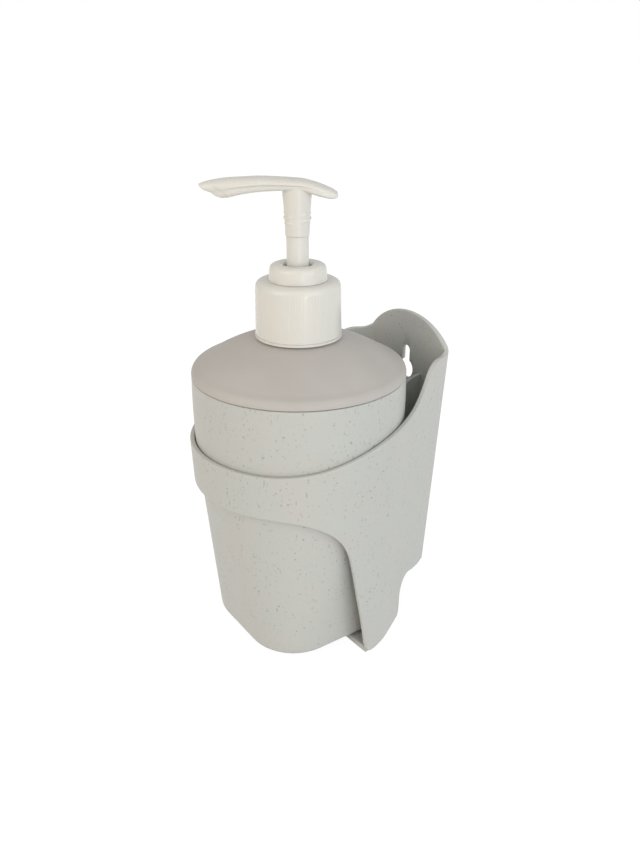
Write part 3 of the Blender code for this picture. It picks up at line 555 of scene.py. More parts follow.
@dataclass(frozen=True)
class LidPlastic:
    """Warm grey plastic with a fine matt mould texture."""

    name: str = "lid_plastic"
    light: Colour = (0.535, 0.513, 0.489)
    dark: Colour = (0.500, 0.478, 0.454)
    roughness: float = 0.55

    def build(self) -> bpy.types.Material:
        """Make the material: soft clouding and a fine even bump.

        Returns:
            The material.
        """
        graph = Graph(self.name)
        place = graph.coordinates()
        cloud = graph.noise(place, 40.0, 3.0).step(0.3, 0.7)
        grain = graph.noise(place, 1800.0, 2.0)
        return principled(
            graph, Base_Color=cloud.blended(self.light, self.dark),
            Roughness=grain * 0.14 + (self.roughness - 0.07),
            Normal=graph.bump(grain, 0.25, 0.00005), Specular_IOR_Level=0.35)


@dataclass(frozen=True)
class MilkyPlastic:
    """Milky white plastic that lets a little light through."""

    name: str = "pump_plastic"
    cool: Colour = (0.735, 0.735, 0.695)
    warm: Colour = (0.755, 0.735, 0.690)
    roughness: float = 0.24
    glow: float = 0.45

    def build(self) -> bpy.types.Material:
        """Make the material: faint clouding, long ripples and a soft glow inside.

        Returns:
            The material.
        """
        graph = Graph(self.name)
        place = graph.coordinates()
        cloud = graph.noise(place.scaled((1.0, 1.0, 0.45)), 150.0, 2.0).step(0.3, 0.7)
        ripple = graph.noise(place.scaled((1.0, 1.0, 0.3)), 420.0, 2.0)
        return principled(
            graph, Base_Color=cloud.blended(self.cool, self.warm),
            Roughness=ripple * 0.10 + (self.roughness - 0.05),
            Normal=graph.bump(ripple, 0.16, 0.00008),
            Subsurface_Weight=self.glow, Subsurface_Radius=(1.0, 0.95, 0.85),
            Subsurface_Scale=0.0022, IOR=1.5)


@dataclass(frozen=True)
class SealRubber:
    """Soft pale seal and piston material."""

    name: str = "seal_rubber"
    light: Colour = (0.66, 0.66, 0.64)
    dark: Colour = (0.58, 0.58, 0.57)

    def build(self) -> bpy.types.Material:
        """Make the material: dull, with a slight bloom.

        Returns:
            The material.
        """
        graph = Graph(self.name)
        place = graph.coordinates()
        bloom = graph.noise(place, 600.0, 3.0)
        return principled(
            graph, Base_Color=bloom.blended(self.light, self.dark),
            Roughness=bloom * 0.2 + 0.5, Normal=graph.bump(bloom, 0.2, 0.00005))


@dataclass(frozen=True)
class BrightSteel:
    """Drawn wire and polished ball steel."""

    name: str
    colour: Colour = (0.62, 0.62, 0.63)
    roughness: float = 0.22
    grain: float = 2500.0

    def build(self) -> bpy.types.Material:
        """Make the material: metal with fine drawing marks.

        Returns:
            The material.
        """
        graph = Graph(self.name)
        marks = graph.noise(graph.coordinates(), self.grain, 2.0)
        return principled(
            graph, Base_Color=(marks * 0.3).blended(self.colour, (0.45, 0.45, 0.46)),
            Metallic=1.0, Roughness=marks * 0.12 + (self.roughness - 0.06),
            Normal=graph.bump(marks, 0.1, 0.00002))


@dataclass(frozen=True)
class TubePlastic:
    """Half clear dip tube."""

    name: str = "tube_plastic"
    colour: Colour = (0.78, 0.80, 0.80)

    def build(self) -> bpy.types.Material:
        """Make the material: cloudy, with light passing through.

        Returns:
            The material.
        """
        graph = Graph(self.name)
        cloud = graph.noise(graph.coordinates().scaled((1.0, 1.0, 0.2)), 300.0, 2.0)
        return principled(
            graph, Base_Color=cloud.blended(self.colour, (0.72, 0.75, 0.75)),
            Roughness=cloud * 0.1 + 0.2, Transmission_Weight=0.55, IOR=1.49,
            Normal=graph.bump(cloud, 0.1, 0.00004))


@dataclass(frozen=True)
class FloorPaint:
    """Plain pale floor that shows white and keeps a faint shadow.

    Attributes:
        paint: colour that the floor throws back on the object.
        white: share of plain white that the camera and mirrors see.
        glow: strength of that white.
    """

    name: str = "floor_paint"
    paint: Colour = (0.80, 0.80, 0.80)
    white: float = 0.80
    glow: float = 1.16

    def build(self) -> bpy.types.Material:
        """Make the material: paint for the object, mostly white for the eye.

        Returns:
            The floor's material.
        """
        graph = Graph(self.name)
        rays = graph.add("ShaderNodeLightPath", {}, {}, "Is Camera Ray")
        node = rays.socket.node
        seen = rays
        for other in ("Is Glossy Ray", "Is Transmission Ray"):
            seen = graph.add("ShaderNodeMath", {"operation": "MAXIMUM"},
                             {0: seen, 1: Signal(graph, node.outputs[other])})
        paint = graph.add("ShaderNodeBsdfDiffuse", {}, {"Color": self.paint})
        glow = graph.add("ShaderNodeEmission", {},
                         {"Color": (1.0, 1.0, 1.0), "Strength": self.glow})
        mix = graph.add("ShaderNodeMixShader", {}, {0: seen * self.white, 1: paint, 2: glow})
        return graph.finish(mix)


@dataclass
class Piece:
    """A fine piece that stands for a node of the frame.

    Attributes:
        node: name of the node that it replaces.
        body: body that it rides on.
        slot: record's material slot; not used.
    """

    node: str
    body: Body
    slot: Slot

    def install(self, shape: Union[Surface, bpy.types.Mesh],
                finish: bpy.types.Material) -> bpy.types.Object:
        """Put a shape into the scene in the node's stead.

        Args:
            shape: a surface, or a mesh that is already in place.
            finish: its material.

        Returns:
            The new object, at the origin.
        """
        name = self.node + "_fine"
        mesh = shape.mesh(name) if isinstance(shape, Surface) else shape
        mesh.name = name
        mesh.shade_smooth()
        mesh.set_sharp_from_angle(angle=SMOOTH_LIMIT)
        mesh.materials.clear()
        mesh.materials.append(finish)
        item = bpy.data.objects.new(name, mesh)
        bpy.context.scene.collection.objects.link(item)
        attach(item, self.body.value)
        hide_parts(self.node)
        LOG.info("%s: %d vertices, %d faces", name, len(mesh.vertices), len(mesh.polygons))
        return item


@dataclass
class Cup:
    """The cup: a rounded square at its base that becomes round higher up."""

    base_half: float = 31.9 * MM
    base_corner: float = 20.6 * MM
    base_turn: float = math.radians(-2.5)
    base_edge: float = 4.2 * MM
    round_height: float = 75.0 * MM
    round_radius: float = 41.9 * MM
    belly_radius: float = 42.85 * MM
    rim_radius: float = 42.65 * MM
    rim_height: float = 114.1 * MM
    belly_share: float = 0.74
    wall: float = 1.7 * MM
    floor: float = 2.2 * MM
    floor_corner: float = 2.6 * MM
    rim_round: float = 0.45 * MM
    columns: int = 208

    def section(self, height: np.ndarray) -> tuple[np.ndarray, np.ndarray]:
        """Work out the half side and corner radius at a height.

        Both grow evenly up to the round height, and the radius above it is a parabola
        through the round, belly and rim radii.

        Args:
            height: heights above the cup's underside.

        Returns:
            The half sides and the corner radii.
        """
        low = np.clip(height / self.round_height, 0.0, 1.0)
        half = self.base_half + (self.round_radius - self.base_half) * low
        corner = self.base_corner + (self.round_radius - self.base_corner) * low
        climb = self.rim_height - self.round_height
        share = np.clip((height - self.round_height) / climb, 0.0, None)
        rise, drop = self.belly_radius - self.round_radius, self.rim_radius - self.round_radius
        bend = (drop - rise / self.belly_share) / (1.0 - self.belly_share)
        slope = rise / self.belly_share - bend * self.belly_share
        swell = slope * share + bend * share ** 2
        return half + swell, corner + swell

    def ring(self, half: np.ndarray, corner: np.ndarray, height: np.ndarray) -> np.ndarray:
        """Work out rings of a square with rounded corners, in polar form.

        In the eighth turn from a side's middle the radius is half / cos a on the flat, and
        e.C + sqrt((e.C)^2 - |C|^2 + c^2) on the corner's arc with centre C and radius c.

        Args:
            half: half side of each ring.
            corner: corner radius of each ring.
            height: height of each ring.

        Returns:
            Points as (ring, place round it, xyz).
        """
        angle = np.linspace(0.0, TAU, self.columns, endpoint=False)[None]
        folded = np.abs((angle - self.base_turn + TAU / 8) % (TAU / 4) - TAU / 8)
        half, corner, height = half[:, None], corner[:, None], height[:, None]
        offset = np.maximum(half - corner, 0.0)
        along = offset * (np.cos(folded) + np.sin(folded))
        arc = along + np.sqrt(np.maximum(along ** 2 - 2 * offset ** 2 + corner ** 2, 0.0))
        flat = half / np.cos(folded)
        radius = np.where(half * np.tan(folded) <= offset, flat, arc)
        return np.stack([radius * np.cos(angle), radius * np.sin(angle), height + 0 * radius],
                        axis=-1)

    def build(self) -> Surface:
        """Build the cup with its rounded rim, base edge and inside.

        Returns:
            The closed surface.
        """
        turn = np.linspace(0.0, math.pi / 2, 8)
        half, corner = self.section(np.zeros(1))
        spread = np.array([0.0, 0.3, 0.6, 0.85, 0.97])
        rows = [self.ring((half - self.base_edge) * spread, (corner - self.base_edge) * spread,
                          spread * 0.0)]
        low = self.base_edge * (1 - np.cos(turn))
        rows.append(self.skin(low, self.base_edge * (1 - np.sin(turn))))
        top = self.rim_height - self.rim_round
        outer = np.concatenate([np.linspace(self.base_edge, self.round_height, 26)[1:],
                                np.linspace(self.round_height, top, 20)[1:]])
        rows.append(self.skin(outer, outer * 0.0))
        lip = self.rim_round * np.sin(turn[1:])
        rows.append(self.skin(top + lip, self.rim_round * (1 - np.cos(turn[1:]))))
        rows.append(self.skin((top + lip)[::-1],
                              self.wall - self.rim_round * (1 - np.cos(turn[:0:-1]))))
        inner_low = self.floor + self.floor_corner
        inner = outer[outer > inner_low][::-1]
        rows.append(self.skin(inner, inner * 0.0 + self.wall))
        drop = self.floor_corner * (1 - np.sin(turn))
        shrink = self.floor_corner * (1 - np.cos(turn))
        rows.append(self.skin(self.floor + drop, self.wall + shrink))
        half, corner = self.section(np.array([self.floor]))
        inset = self.wall + self.floor_corner
        back = spread[::-1]
        rows.append(self.ring((half - inset) * back, (corner - inset) * back,
                              back * 0.0 + self.floor))
        return grid(np.concatenate(rows))

    def skin(self, height: np.ndarray, inset: np.ndarray) -> np.ndarray:
        """Return rings at heights, each inside the outer face by an inset."""
        half, corner = self.section(height)
        return self.ring(half - inset, corner - inset, height)


@dataclass
class Lid:
    """The domed lid with its threaded neck and plug skirt."""

    bottom: float = 114.4 * MM
    edge_radius: float = 42.7 * MM
    roll_bottom: float = 115.0 * MM
    roll_reach: float = 2.7 * MM
    roll_rise: float = 3.1 * MM
    cone_rise: float = 10.9 * MM
    crown_rise: float = 1.6 * MM
    wall: float = 1.8 * MM
    skirt_radius: float = 40.35 * MM
    skirt_wall: float = 1.5 * MM
    skirt_depth: float = 8.5 * MM
    groove_depth: float = 0.8 * MM
    groove_low: float = 5.0 * MM
    groove_high: float = 3.0 * MM
    neck_radius: float = 13.6 * MM
    neck_wall: float = 1.8 * MM
    neck_top: float = 146.0 * MM
    thread_rise: float = 0.42 * MM
    thread_pitch: float = 4.2 * MM
    thread_low: float = 134.5 * MM
    thread_high: float = 143.0 * MM
    thread_half: float = 0.95 * MM
    thread_fade: float = 1.0 * MM
    roll_degrees: float = 74.0
    columns: int = 224

    def cone(self, radius: np.ndarray, drop: float = 0.0) -> np.ndarray:
        """Work out the cone's height: a straight rise plus 4 s (1 - s) of crown.

        Args:
            radius: distances from the axis.
            drop: how far below the outer face.

        Returns:
            The heights.
        """
        outer = self.edge_radius - self.roll_reach
        share = (outer - radius) / (outer - self.neck_radius)
        rise = self.cone_rise * share + self.crown_rise * 4 * share * (1 - share)
        return self.roll_bottom + self.roll_rise + rise - drop

    def thread(self, radius: np.ndarray, height: np.ndarray, angle: np.ndarray) -> np.ndarray:
        """Work out the neck's helical ridge.

        A rounded crest lies wherever height over pitch less turns is whole.

        Args:
            radius: distances from the axis.
            height: heights.
            angle: angles about the axis.

        Returns:
            The radius to add.
        """
        phase = (height - self.thread_low) / self.thread_pitch - angle / TAU
        off = np.abs(phase - np.round(phase)) * self.thread_pitch
        crest = np.clip(1.0 - off / self.thread_half, 0.0, 1.0)
        crest = crest * crest * (3 - 2 * crest)
        on_neck = np.abs(radius - self.neck_radius) < 1e-6
        fade = window(height, self.thread_low, self.thread_high, self.thread_fade)
        return self.thread_rise * crest * on_neck * fade

    def build(self) -> Surface:
        """Build the lid, spun from one closed outline.

        Returns:
            The closed surface.
        """
        outer = self.edge_radius - self.roll_reach
        roll = np.radians(np.linspace(0, self.roll_degrees, 14))
        roll_path = np.column_stack([outer + self.roll_reach * np.cos(roll),
                                     self.roll_bottom + self.roll_rise * np.sin(roll)])
        cone_radius = np.linspace(outer - 0.9 * MM, self.neck_radius + 1.0 * MM, 40)
        cone_path = np.column_stack([cone_radius, self.cone(cone_radius)])
        neck_foot = float(self.cone(np.array([self.neck_radius]))[0])
        foot_radius = self.neck_radius + 4 * MM
        neck = rounded([
            (cone_path[-1, 0], cone_path[-1, 1], 0.0), (self.neck_radius, neck_foot, 0.6 * MM),
            (self.neck_radius, self.neck_top, 0.3 * MM),
            (self.neck_radius - self.neck_wall, self.neck_top, 0.3 * MM),
            (self.neck_radius - self.neck_wall, neck_foot - self.wall, 0.5 * MM),
            (foot_radius, float(self.cone(np.array([foot_radius]), self.wall)[0]), 0.0),
        ], False)
        under_radius = np.linspace(self.neck_radius + 5 * MM,
                                   self.skirt_radius - self.skirt_wall - 1 * MM, 16)
        under = np.column_stack([under_radius, self.cone(under_radius, self.wall)])
        inner = self.skirt_radius - self.skirt_wall
        foot, groove = self.bottom - self.skirt_depth, self.skirt_radius - self.groove_depth
        groove_low, groove_high = self.bottom - self.groove_low, self.bottom - self.groove_high
        skirt = rounded([
            (under[-1, 0], under[-1, 1], 0.0),
            (inner, float(self.cone(np.array([inner]), self.wall)[0]), 0.4 * MM),
            (inner, foot, 0.3 * MM), (self.skirt_radius, foot, 0.4 * MM),
            (self.skirt_radius, groove_low, 0.0), (groove, groove_low, 0.0),
            (groove, groove_high, 0.0), (self.skirt_radius, groove_high, 0.0),
            (self.skirt_radius, self.bottom, 0.0), (self.edge_radius, self.bottom, 0.3 * MM),
            (roll_path[0, 0], roll_path[0, 1], 0.0)], False)
        outline = np.vstack([roll_path, cone_path, neck[1:], under, skirt[1:-1]])
        return revolve(refined(outline, 1.1 * MM, True), self.columns, True, self.thread)


@dataclass
class Collar:
    """The closure collar with its faint ribs, soft shoulder and thin lip."""

    bottom: float = 129.1 * MM
    top: float = 151.0 * MM
    inner: float = 14.2 * MM
    top_radius: float = 16.45 * MM
    bottom_radius: float = 17.0 * MM
    shoulder: float = 2.8 * MM
    lip_height: float = 1.1 * MM
    lip_depth: float = 0.22 * MM
    crown: float = 1.7 * MM
    opening: float = 10.5 * MM
    ribs: int = 90
    rib_depth: float = 0.035 * MM
    steps_per_rib: int = 7
    rib_fade: float = 1.0 * MM
    rib_above_lip: float = 1.4 * MM
    rib_below_shoulder: float = 0.6 * MM

    def ribbing(self, radius: np.ndarray, height: np.ndarray, angle: np.ndarray) -> np.ndarray:
        """Work out the ribs: a cosine round the outer wall, fading at shoulder and lip.

        Args:
            radius: distances from the axis.
            height: heights.
            angle: angles about the axis.

        Returns:
            The radius to add, which is never above 0.
        """
        low = self.bottom + self.lip_height + self.rib_above_lip
        high = self.top - self.shoulder - self.rib_below_shoulder
        outside = radius > self.inner + 1.2 * MM
        fade = window(height, low, high, self.rib_fade) * outside
        return -self.rib_depth * fade * (0.5 - 0.5 * np.cos(angle * self.ribs))

    def build(self) -> Surface:
        """Build the collar, spun from one closed outline.

        Returns:
            The closed surface.
        """
        body = self.bottom_radius - self.lip_depth
        lip_top = self.bottom + self.lip_height
        outline = rounded([
            (self.inner, self.bottom, 0.25 * MM), (self.bottom_radius, self.bottom, 0.35 * MM),
            (self.bottom_radius, lip_top, 0.25 * MM), (body, lip_top + self.lip_depth, 0.3 * MM),
            (self.top_radius, self.top, self.shoulder), (self.opening, self.top, 0.25 * MM),
            (self.opening, self.top - self.crown, 0.0),
            (self.inner, self.top - self.crown, 0.4 * MM),
        ], True, 10)
        columns = self.ribs * self.steps_per_rib
        return revolve(refined(outline, 0.9 * MM, True), columns, True, self.ribbing)


@dataclass
class LockRing:
    """The top hat ring that the stem slides through.

    Attributes:
        lean: how much narrower the ring is at its top.
        shoulder: reach of the rounding at its top edge.
        foot_flare: how far the foot stands out past the wall.
        foot_height: height over which the foot flares.
        well_floor: height of the floor round the stem, inside the bore.
    """

    bottom: float = 151.08 * MM
    top: float = 157.3 * MM
    radius: float = 11.15 * MM
    lean: float = 0.35 * MM
    shoulder: float = 2.5 * MM
    foot_flare: float = 0.3 * MM
    foot_height: float = 1.1 * MM
    bore: float = 5.45 * MM
    well_floor: float = 151.7 * MM
    guide_bore: float = 4.55 * MM
    guide_bottom: float = 145.1 * MM
    plug_radius: float = 7.9 * MM
    columns: int = 176

    def build(self) -> Surface:
        """Build the ring, spun from one closed outline.

        Returns:
            The closed surface.
        """
        outline = rounded([
            (self.plug_radius, self.bottom, 0.0),
            (self.radius + self.foot_flare, self.bottom, 0.1 * MM),
            (self.radius, self.bottom + self.foot_height, 0.9 * MM),
            (self.radius - self.lean, self.top, self.shoulder),
            (self.bore, self.top - 0.2 * MM, 1.2 * MM),
            (self.bore, self.well_floor, 0.3 * MM), (self.guide_bore, self.well_floor, 0.25 * MM),
            (self.guide_bore, self.guide_bottom, 0.25 * MM),
            (self.plug_radius, self.guide_bottom, 0.5 * MM),
        ], True, 10)
        return revolve(refined(outline, 0.7 * MM, True), self.columns, True)


@dataclass
class Stem:
    """The hollow stem with its narrower ends."""

    radius: float = 4.25 * MM
    neck: float = 3.15 * MM
    bore: float = 2.05 * MM
    bottom: float = 121.0 * MM
    shoulder: float = 131.0 * MM
    neck_top: float = 167.7 * MM
    top: float = 179.0 * MM
    columns: int = 96

    def build(self) -> Surface:
        """Build the stem, spun from one closed outline.

        Returns:
            The closed surface.
        """
        outline = rounded([
            (self.bore, self.bottom, 0.15 * MM), (self.neck, self.bottom, 0.2 * MM),
            (self.neck, self.shoulder, 0.0), (self.radius, self.shoulder, 0.3 * MM),
            (self.radius, self.neck_top, 0.2 * MM), (self.neck, self.neck_top, 0.0),
            (self.neck, self.top, 0.2 * MM), (self.bore, self.top, 0.15 * MM),
        ], True)
        return revolve(refined(outline, 1.0 * MM, True), self.columns, True)


@dataclass
class Head:
    """The press head: a saddle bar with its spout, and the threaded sleeve below.

    A section of the bar is a row of place, underside, top, width, lead of the top over the
    underside, height of the side band and how far the band is set in.  Places are shares of
    the reach on their side, and the others are shares of the head's height and width.
    """

    underside: float = 184.3 * MM
    height: float = 5.0 * MM
    width: float = 12.4 * MM
    spout_reach: float = 36.2 * MM
    tail_reach: float = 14.8 * MM
    turn: float = math.radians(-35)
    sleeve_bottom: float = 167.72 * MM
    sleeve_low_radius: float = 4.6 * MM
    sleeve_flare: float = 0.97 * MM
    flare_power: float = 1.6
    socket_radius: float = 3.45 * MM
    socket_top: float = 179.3 * MM
    crest: float = 0.44 * MM
    crest_low: float = 172.9 * MM
    crest_pitch: float = 2.3 * MM
    crest_half: float = 0.85 * MM
    channel_radius: float = 1.6 * MM
    tail_round: float = 0.05
    beak_round: float = 0.006
    beak_lead: float = 0.2
    crest_over: float = 0.5 * MM
    crest_fade: float = 0.7 * MM
    sections: tuple[tuple[float, ...], ...] = (
        (-0.96, -0.58, -0.16, 0.70, 0.00, 0.46, 0.00),
        (-0.90, -0.63, -0.02, 0.78, 0.00, 0.46, 0.00),
        (-0.76, -0.62, 0.18, 0.84, 0.00, 0.48, 0.00),
        (-0.50, -0.44, 0.47, 0.92, 0.00, 0.50, 0.02),
        (-0.20, -0.14, 0.71, 0.98, 0.00, 0.50, 0.07),
        (0.00, -0.06, 0.78, 1.00, 0.00, 0.50, 0.11),
        (0.18, -0.06, 0.87, 0.98, 0.00, 0.50, 0.13),
        (0.38, -0.14, 0.93, 0.90, 0.00, 0.50, 0.13),
        (0.52, -0.27, 0.89, 0.85, 0.02, 0.49, 0.12),
        (0.60, -0.38, 0.83, 0.82, 0.11, 0.48, 0.10),
        (0.640, -0.45, 0.73, 0.80, 0.175, 0.47, 0.08),
        (0.655, -0.48, 0.69, 0.74, 0.190, 0.46, 0.04),
        (0.672, -0.51, 0.66, 0.66, 0.198, 0.45, 0.01),
        (0.72, -0.56, 0.57, 0.58, 0.205, 0.44, 0.00),
        (0.755, -0.57, 0.47, 0.48, 0.210, 0.44, 0.00),
        (0.774, -0.52, 0.40, 0.38, 0.212, 0.44, 0.00),
    )
    beak_heights: tuple[float, ...] = (0.0, 0.15, 0.38, 0.56, 0.75, 1.0)
    beak_places: tuple[float, ...] = (0.0, 0.012, 0.0, 0.030, 0.026, 0.0)
    channel: tuple[tuple[float, float], ...] = (
        (0.0, 0.42), (0.15, 0.45), (0.30, 0.45), (0.45, 0.39), (0.60, 0.30), (0.72, 0.18),
        (0.85, 0.06), (1.10, -0.22))

    def outline(self, band: np.ndarray, inset: np.ndarray) -> tuple[np.ndarray, np.ndarray]:
        """Return each section's outline as across and height shares.

        Args:
            band: height of the band's upper edge in each section.
            inset: how far the band is set in.

        Returns:
            Across from -1 to 1 and height from 0 to 1, one row to a section.
        """
        band, inset = band[:, None], inset[:, None]
        low = np.array([0.0, 0.2, 0.38, 0.54, 0.68, 0.80, 0.90, 0.97, 1.0])[None] * (1 - inset)
        low_v = np.array([0.0, 0.0, 0.003, 0.010, 0.026, 0.055, 0.105, 0.185, 0.29])
        low_v = low_v[None] * band * 2
        side_v = np.array([0.66, 0.75, 0.83])[None] * band
        side = (1 - inset) + 0 * side_v
        step = np.array([0.0, 0.55, 0.9, 1.0])[None]
        lip = (1 - inset) + inset * step
        lip_v = band + np.array([-0.05, -0.015, 0.025, 0.07])[None]
        turn = np.radians(np.linspace(6, 90, 15))[None]
        crown = np.cos(turn) ** 0.85 + 0 * band
        crown_v = (band + 0.07) + (1 - band - 0.07) * np.sin(turn) ** 0.92
        right = np.concatenate([low, side, lip, crown], axis=1)
        right_v = np.concatenate([low_v, side_v, lip_v, crown_v], axis=1)
        left, left_v = -right[:, -2:0:-1], right_v[:, -2:0:-1]
        return np.concatenate([right, left], axis=1), np.concatenate([right_v, left_v], axis=1)

    def rings(self, table: np.ndarray, shrink: np.ndarray) -> np.ndarray:
        """Work out rings of points for rows of sections.

        A point lies along the bar by place + lead v + beak(v), across it by u and up by v,
        then is turned about Z.

        Args:
            table: rows of sections.
            shrink: how far each ring is drawn in to its middle, from 0 to 1.

        Returns:
            Points as (ring, place round it, xyz).
        """
        place, low, high, width, lead, band, inset = (table[:, k] for k in range(7))
        across, up = self.outline(band, inset)
        shrink = shrink[:, None]
        across, up = across * (1 - shrink), 0.45 + (up - 0.45) * (1 - shrink)
        growth = np.clip(lead / self.beak_lead, 0.0, 1.0)[:, None] ** 3
        beak = np.interp(up, self.beak_heights, self.beak_places) * growth
        reach = np.where(place > 0, self.spout_reach, self.tail_reach)
        along = (place * reach)[:, None] + (lead[:, None] * up + beak) * self.spout_reach
        side = across * (self.width * width / 2)[:, None]
        bottom, top = self.underside + self.height * low, self.underside + self.height * high
        z = bottom[:, None] + up * (top - bottom)[:, None]
        x = along * math.sin(self.turn) + side * math.cos(self.turn)
        y = -along * math.cos(self.turn) + side * math.sin(self.turn)
        return np.stack([x, y, z], axis=-1)

    def bar(self) -> Surface:
        """Build the bar, with its ends rounded by drawing in the last rings.

        Returns:
            The closed surface.
        """
        table = smooth_path(self.sections, 7)
        turn = np.linspace(math.pi / 2, 0.15, 9)
        draw = 1 - np.maximum(np.cos(turn), 0.0) ** 0.6
        draw[0] = 1.0
        first = np.repeat(table[:1], len(turn), axis=0)
        last = np.repeat(table[-1:], len(turn), axis=0)
        first[:, 0] -= self.tail_round * np.sin(turn)
        last[:, 0] += self.beak_round * np.sin(turn[::-1])
        shrink = np.concatenate([draw, np.zeros(len(table)), draw[::-1]])
        table = np.vstack([first, table, last])
        return grid(self.rings(table, shrink))

    def ridges(self, radius: np.ndarray, height: np.ndarray, angle: np.ndarray) -> np.ndarray:
        """Work out the sleeve's two-start thread.

        Crests lie wherever height over pitch less two turns is whole, and fade out on the
        mould's two flats, which are square to the spout.

        Args:
            radius: distances from the axis.
            height: heights.
            angle: angles about the axis.

        Returns:
            The radius to add.
        """
        phase = (height - self.crest_low) / self.crest_pitch - 2 * (angle - self.turn) / TAU
        off = np.abs(phase - np.round(phase)) * self.crest_pitch
        crest = np.clip(1.0 - off / self.crest_half, 0.0, 1.0)
        crest = crest * crest * (3 - 2 * crest)
        outside = radius > self.socket_radius + 0.6 * MM
        flats = 0.12 + 0.88 * window(np.abs(np.sin(angle - self.turn)), 0.8, 1.1, 0.5)
        window_low = self.crest_low - self.crest_over
        window_high = self.crest_low + self.crest_pitch + self.crest_over
        fade = window(height, window_low, window_high, self.crest_fade)
        return self.crest * crest * outside * flats * fade

    def sleeve(self) -> Surface:
        """Build the sleeve, spun from an outline that starts and ends on the axis.

        Returns:
            The closed surface.
        """
        top = self.underside + self.height * 0.42
        height = np.linspace(self.sleeve_bottom + 0.25 * MM, self.underside, 90)
        share = (height - self.sleeve_bottom) / (self.underside - self.sleeve_bottom)
        flare = self.sleeve_low_radius + self.sleeve_flare * share ** self.flare_power
        low = rounded([
            (0.0, self.socket_top, 0.0), (self.socket_radius, self.socket_top, 0.2 * MM),
            (self.socket_radius, self.sleeve_bottom, 0.15 * MM),
            (self.sleeve_low_radius, self.sleeve_bottom, 0.2 * MM),
            (flare[0], height[0], 0.0)], False)
        outline = np.vstack([low[:-1], np.column_stack([flare, height]),
                             [[flare[-1], top], [0.0, top]]])
        return revolve(outline, 128, False, self.ridges)

    def bore(self) -> Surface:
        """Build the channel from the stem's socket to the spout's end, as a swept circle.

        A ring's plane holds the sideways direction and the normal of the path, which is the
        cross product of the sideways direction and the tangent.

        Returns:
            The closed surface that is cut away.
        """
        share = smooth_path(self.channel, 6)
        along = share[:, 0] * self.spout_reach
        path = np.column_stack([along * math.sin(self.turn), -along * math.cos(self.turn),
                                self.underside + self.height * share[:, 1]])
        start = np.array([[0.0, 0.0, self.socket_top - 2 * MM],
                          [0.0, 0.0, self.socket_top + 4.2 * MM]])
        path = np.vstack([start, path[2:]])
        tangent = np.gradient(path, axis=0)
        tangent /= np.linalg.norm(tangent, axis=1, keepdims=True)
        side = np.array([math.cos(self.turn), math.sin(self.turn), 0.0])[None] + 0 * tangent
        normal = np.cross(side, tangent)
        angle = np.linspace(0.0, TAU, 32, endpoint=False)[None, :, None]
        way = np.cos(angle) * side[:, None] + np.sin(angle) * normal[:, None]
        return grid(path[:, None] + self.channel_radius * way)

    def build(self) -> bpy.types.Mesh:
        """Return bar and sleeve in one, with the channel bored through."""
        return solved("head", self.bar(), [self.sleeve()], [self.bore()])


FRONT = 3.0
ALL_ROUND = 2 * FRONT
BELL_REACH = 15
TOP_EDGE = (
    (1.00, 1.000), (1.09, 0.955), (1.215, 0.965), (1.29, 0.945), (1.33, 0.924), (1.37, 0.886),
    (1.40, 0.841), (1.425, 0.792), (1.45, 0.737), (1.485, 0.668), (1.525, 0.602), (1.58, 0.526),
    (1.68, 0.439), (1.79, 0.391), (1.895, 0.363), (2.00, 0.346), (2.05, 0.332), (2.125, 0.298),
    (2.21, 0.242), (2.31, 0.166), (2.42, 0.087), (2.52, 0.038), (2.625, 0.010), (2.735, 0.0),
    (3.00, 0.0),
)
STEP_EDGE = (
    (1.04, 0.695), (1.17, 0.725), (1.29, 0.80), (1.40, 0.89), (1.48, 0.965), (1.54, 0.99),
    (1.595, 0.965), (1.645, 0.90), (1.670, 0.80), (1.682, 0.68), (1.682, 0.50), (1.676, 0.30),
    (1.678, 0.12), (1.695, 0.03), (1.725, 0.0),
)
ARCH_EDGE = (
    (2.188, 0.0), (2.195, 0.055), (2.206, 0.13), (2.219, 0.215), (2.236, 0.32),
    (2.254, 0.42), (2.268, 0.51), (2.280, 0.585), (2.291, 0.655), (2.303, 0.72),
    (2.319, 0.775), (2.340, 0.825), (2.367, 0.868), (2.398, 0.904), (2.430, 0.930),
    (2.470, 0.955), (2.520, 0.978), (2.580, 0.992), (2.660, 1.0), (2.80, 1.0), (3.00, 1.0),
)


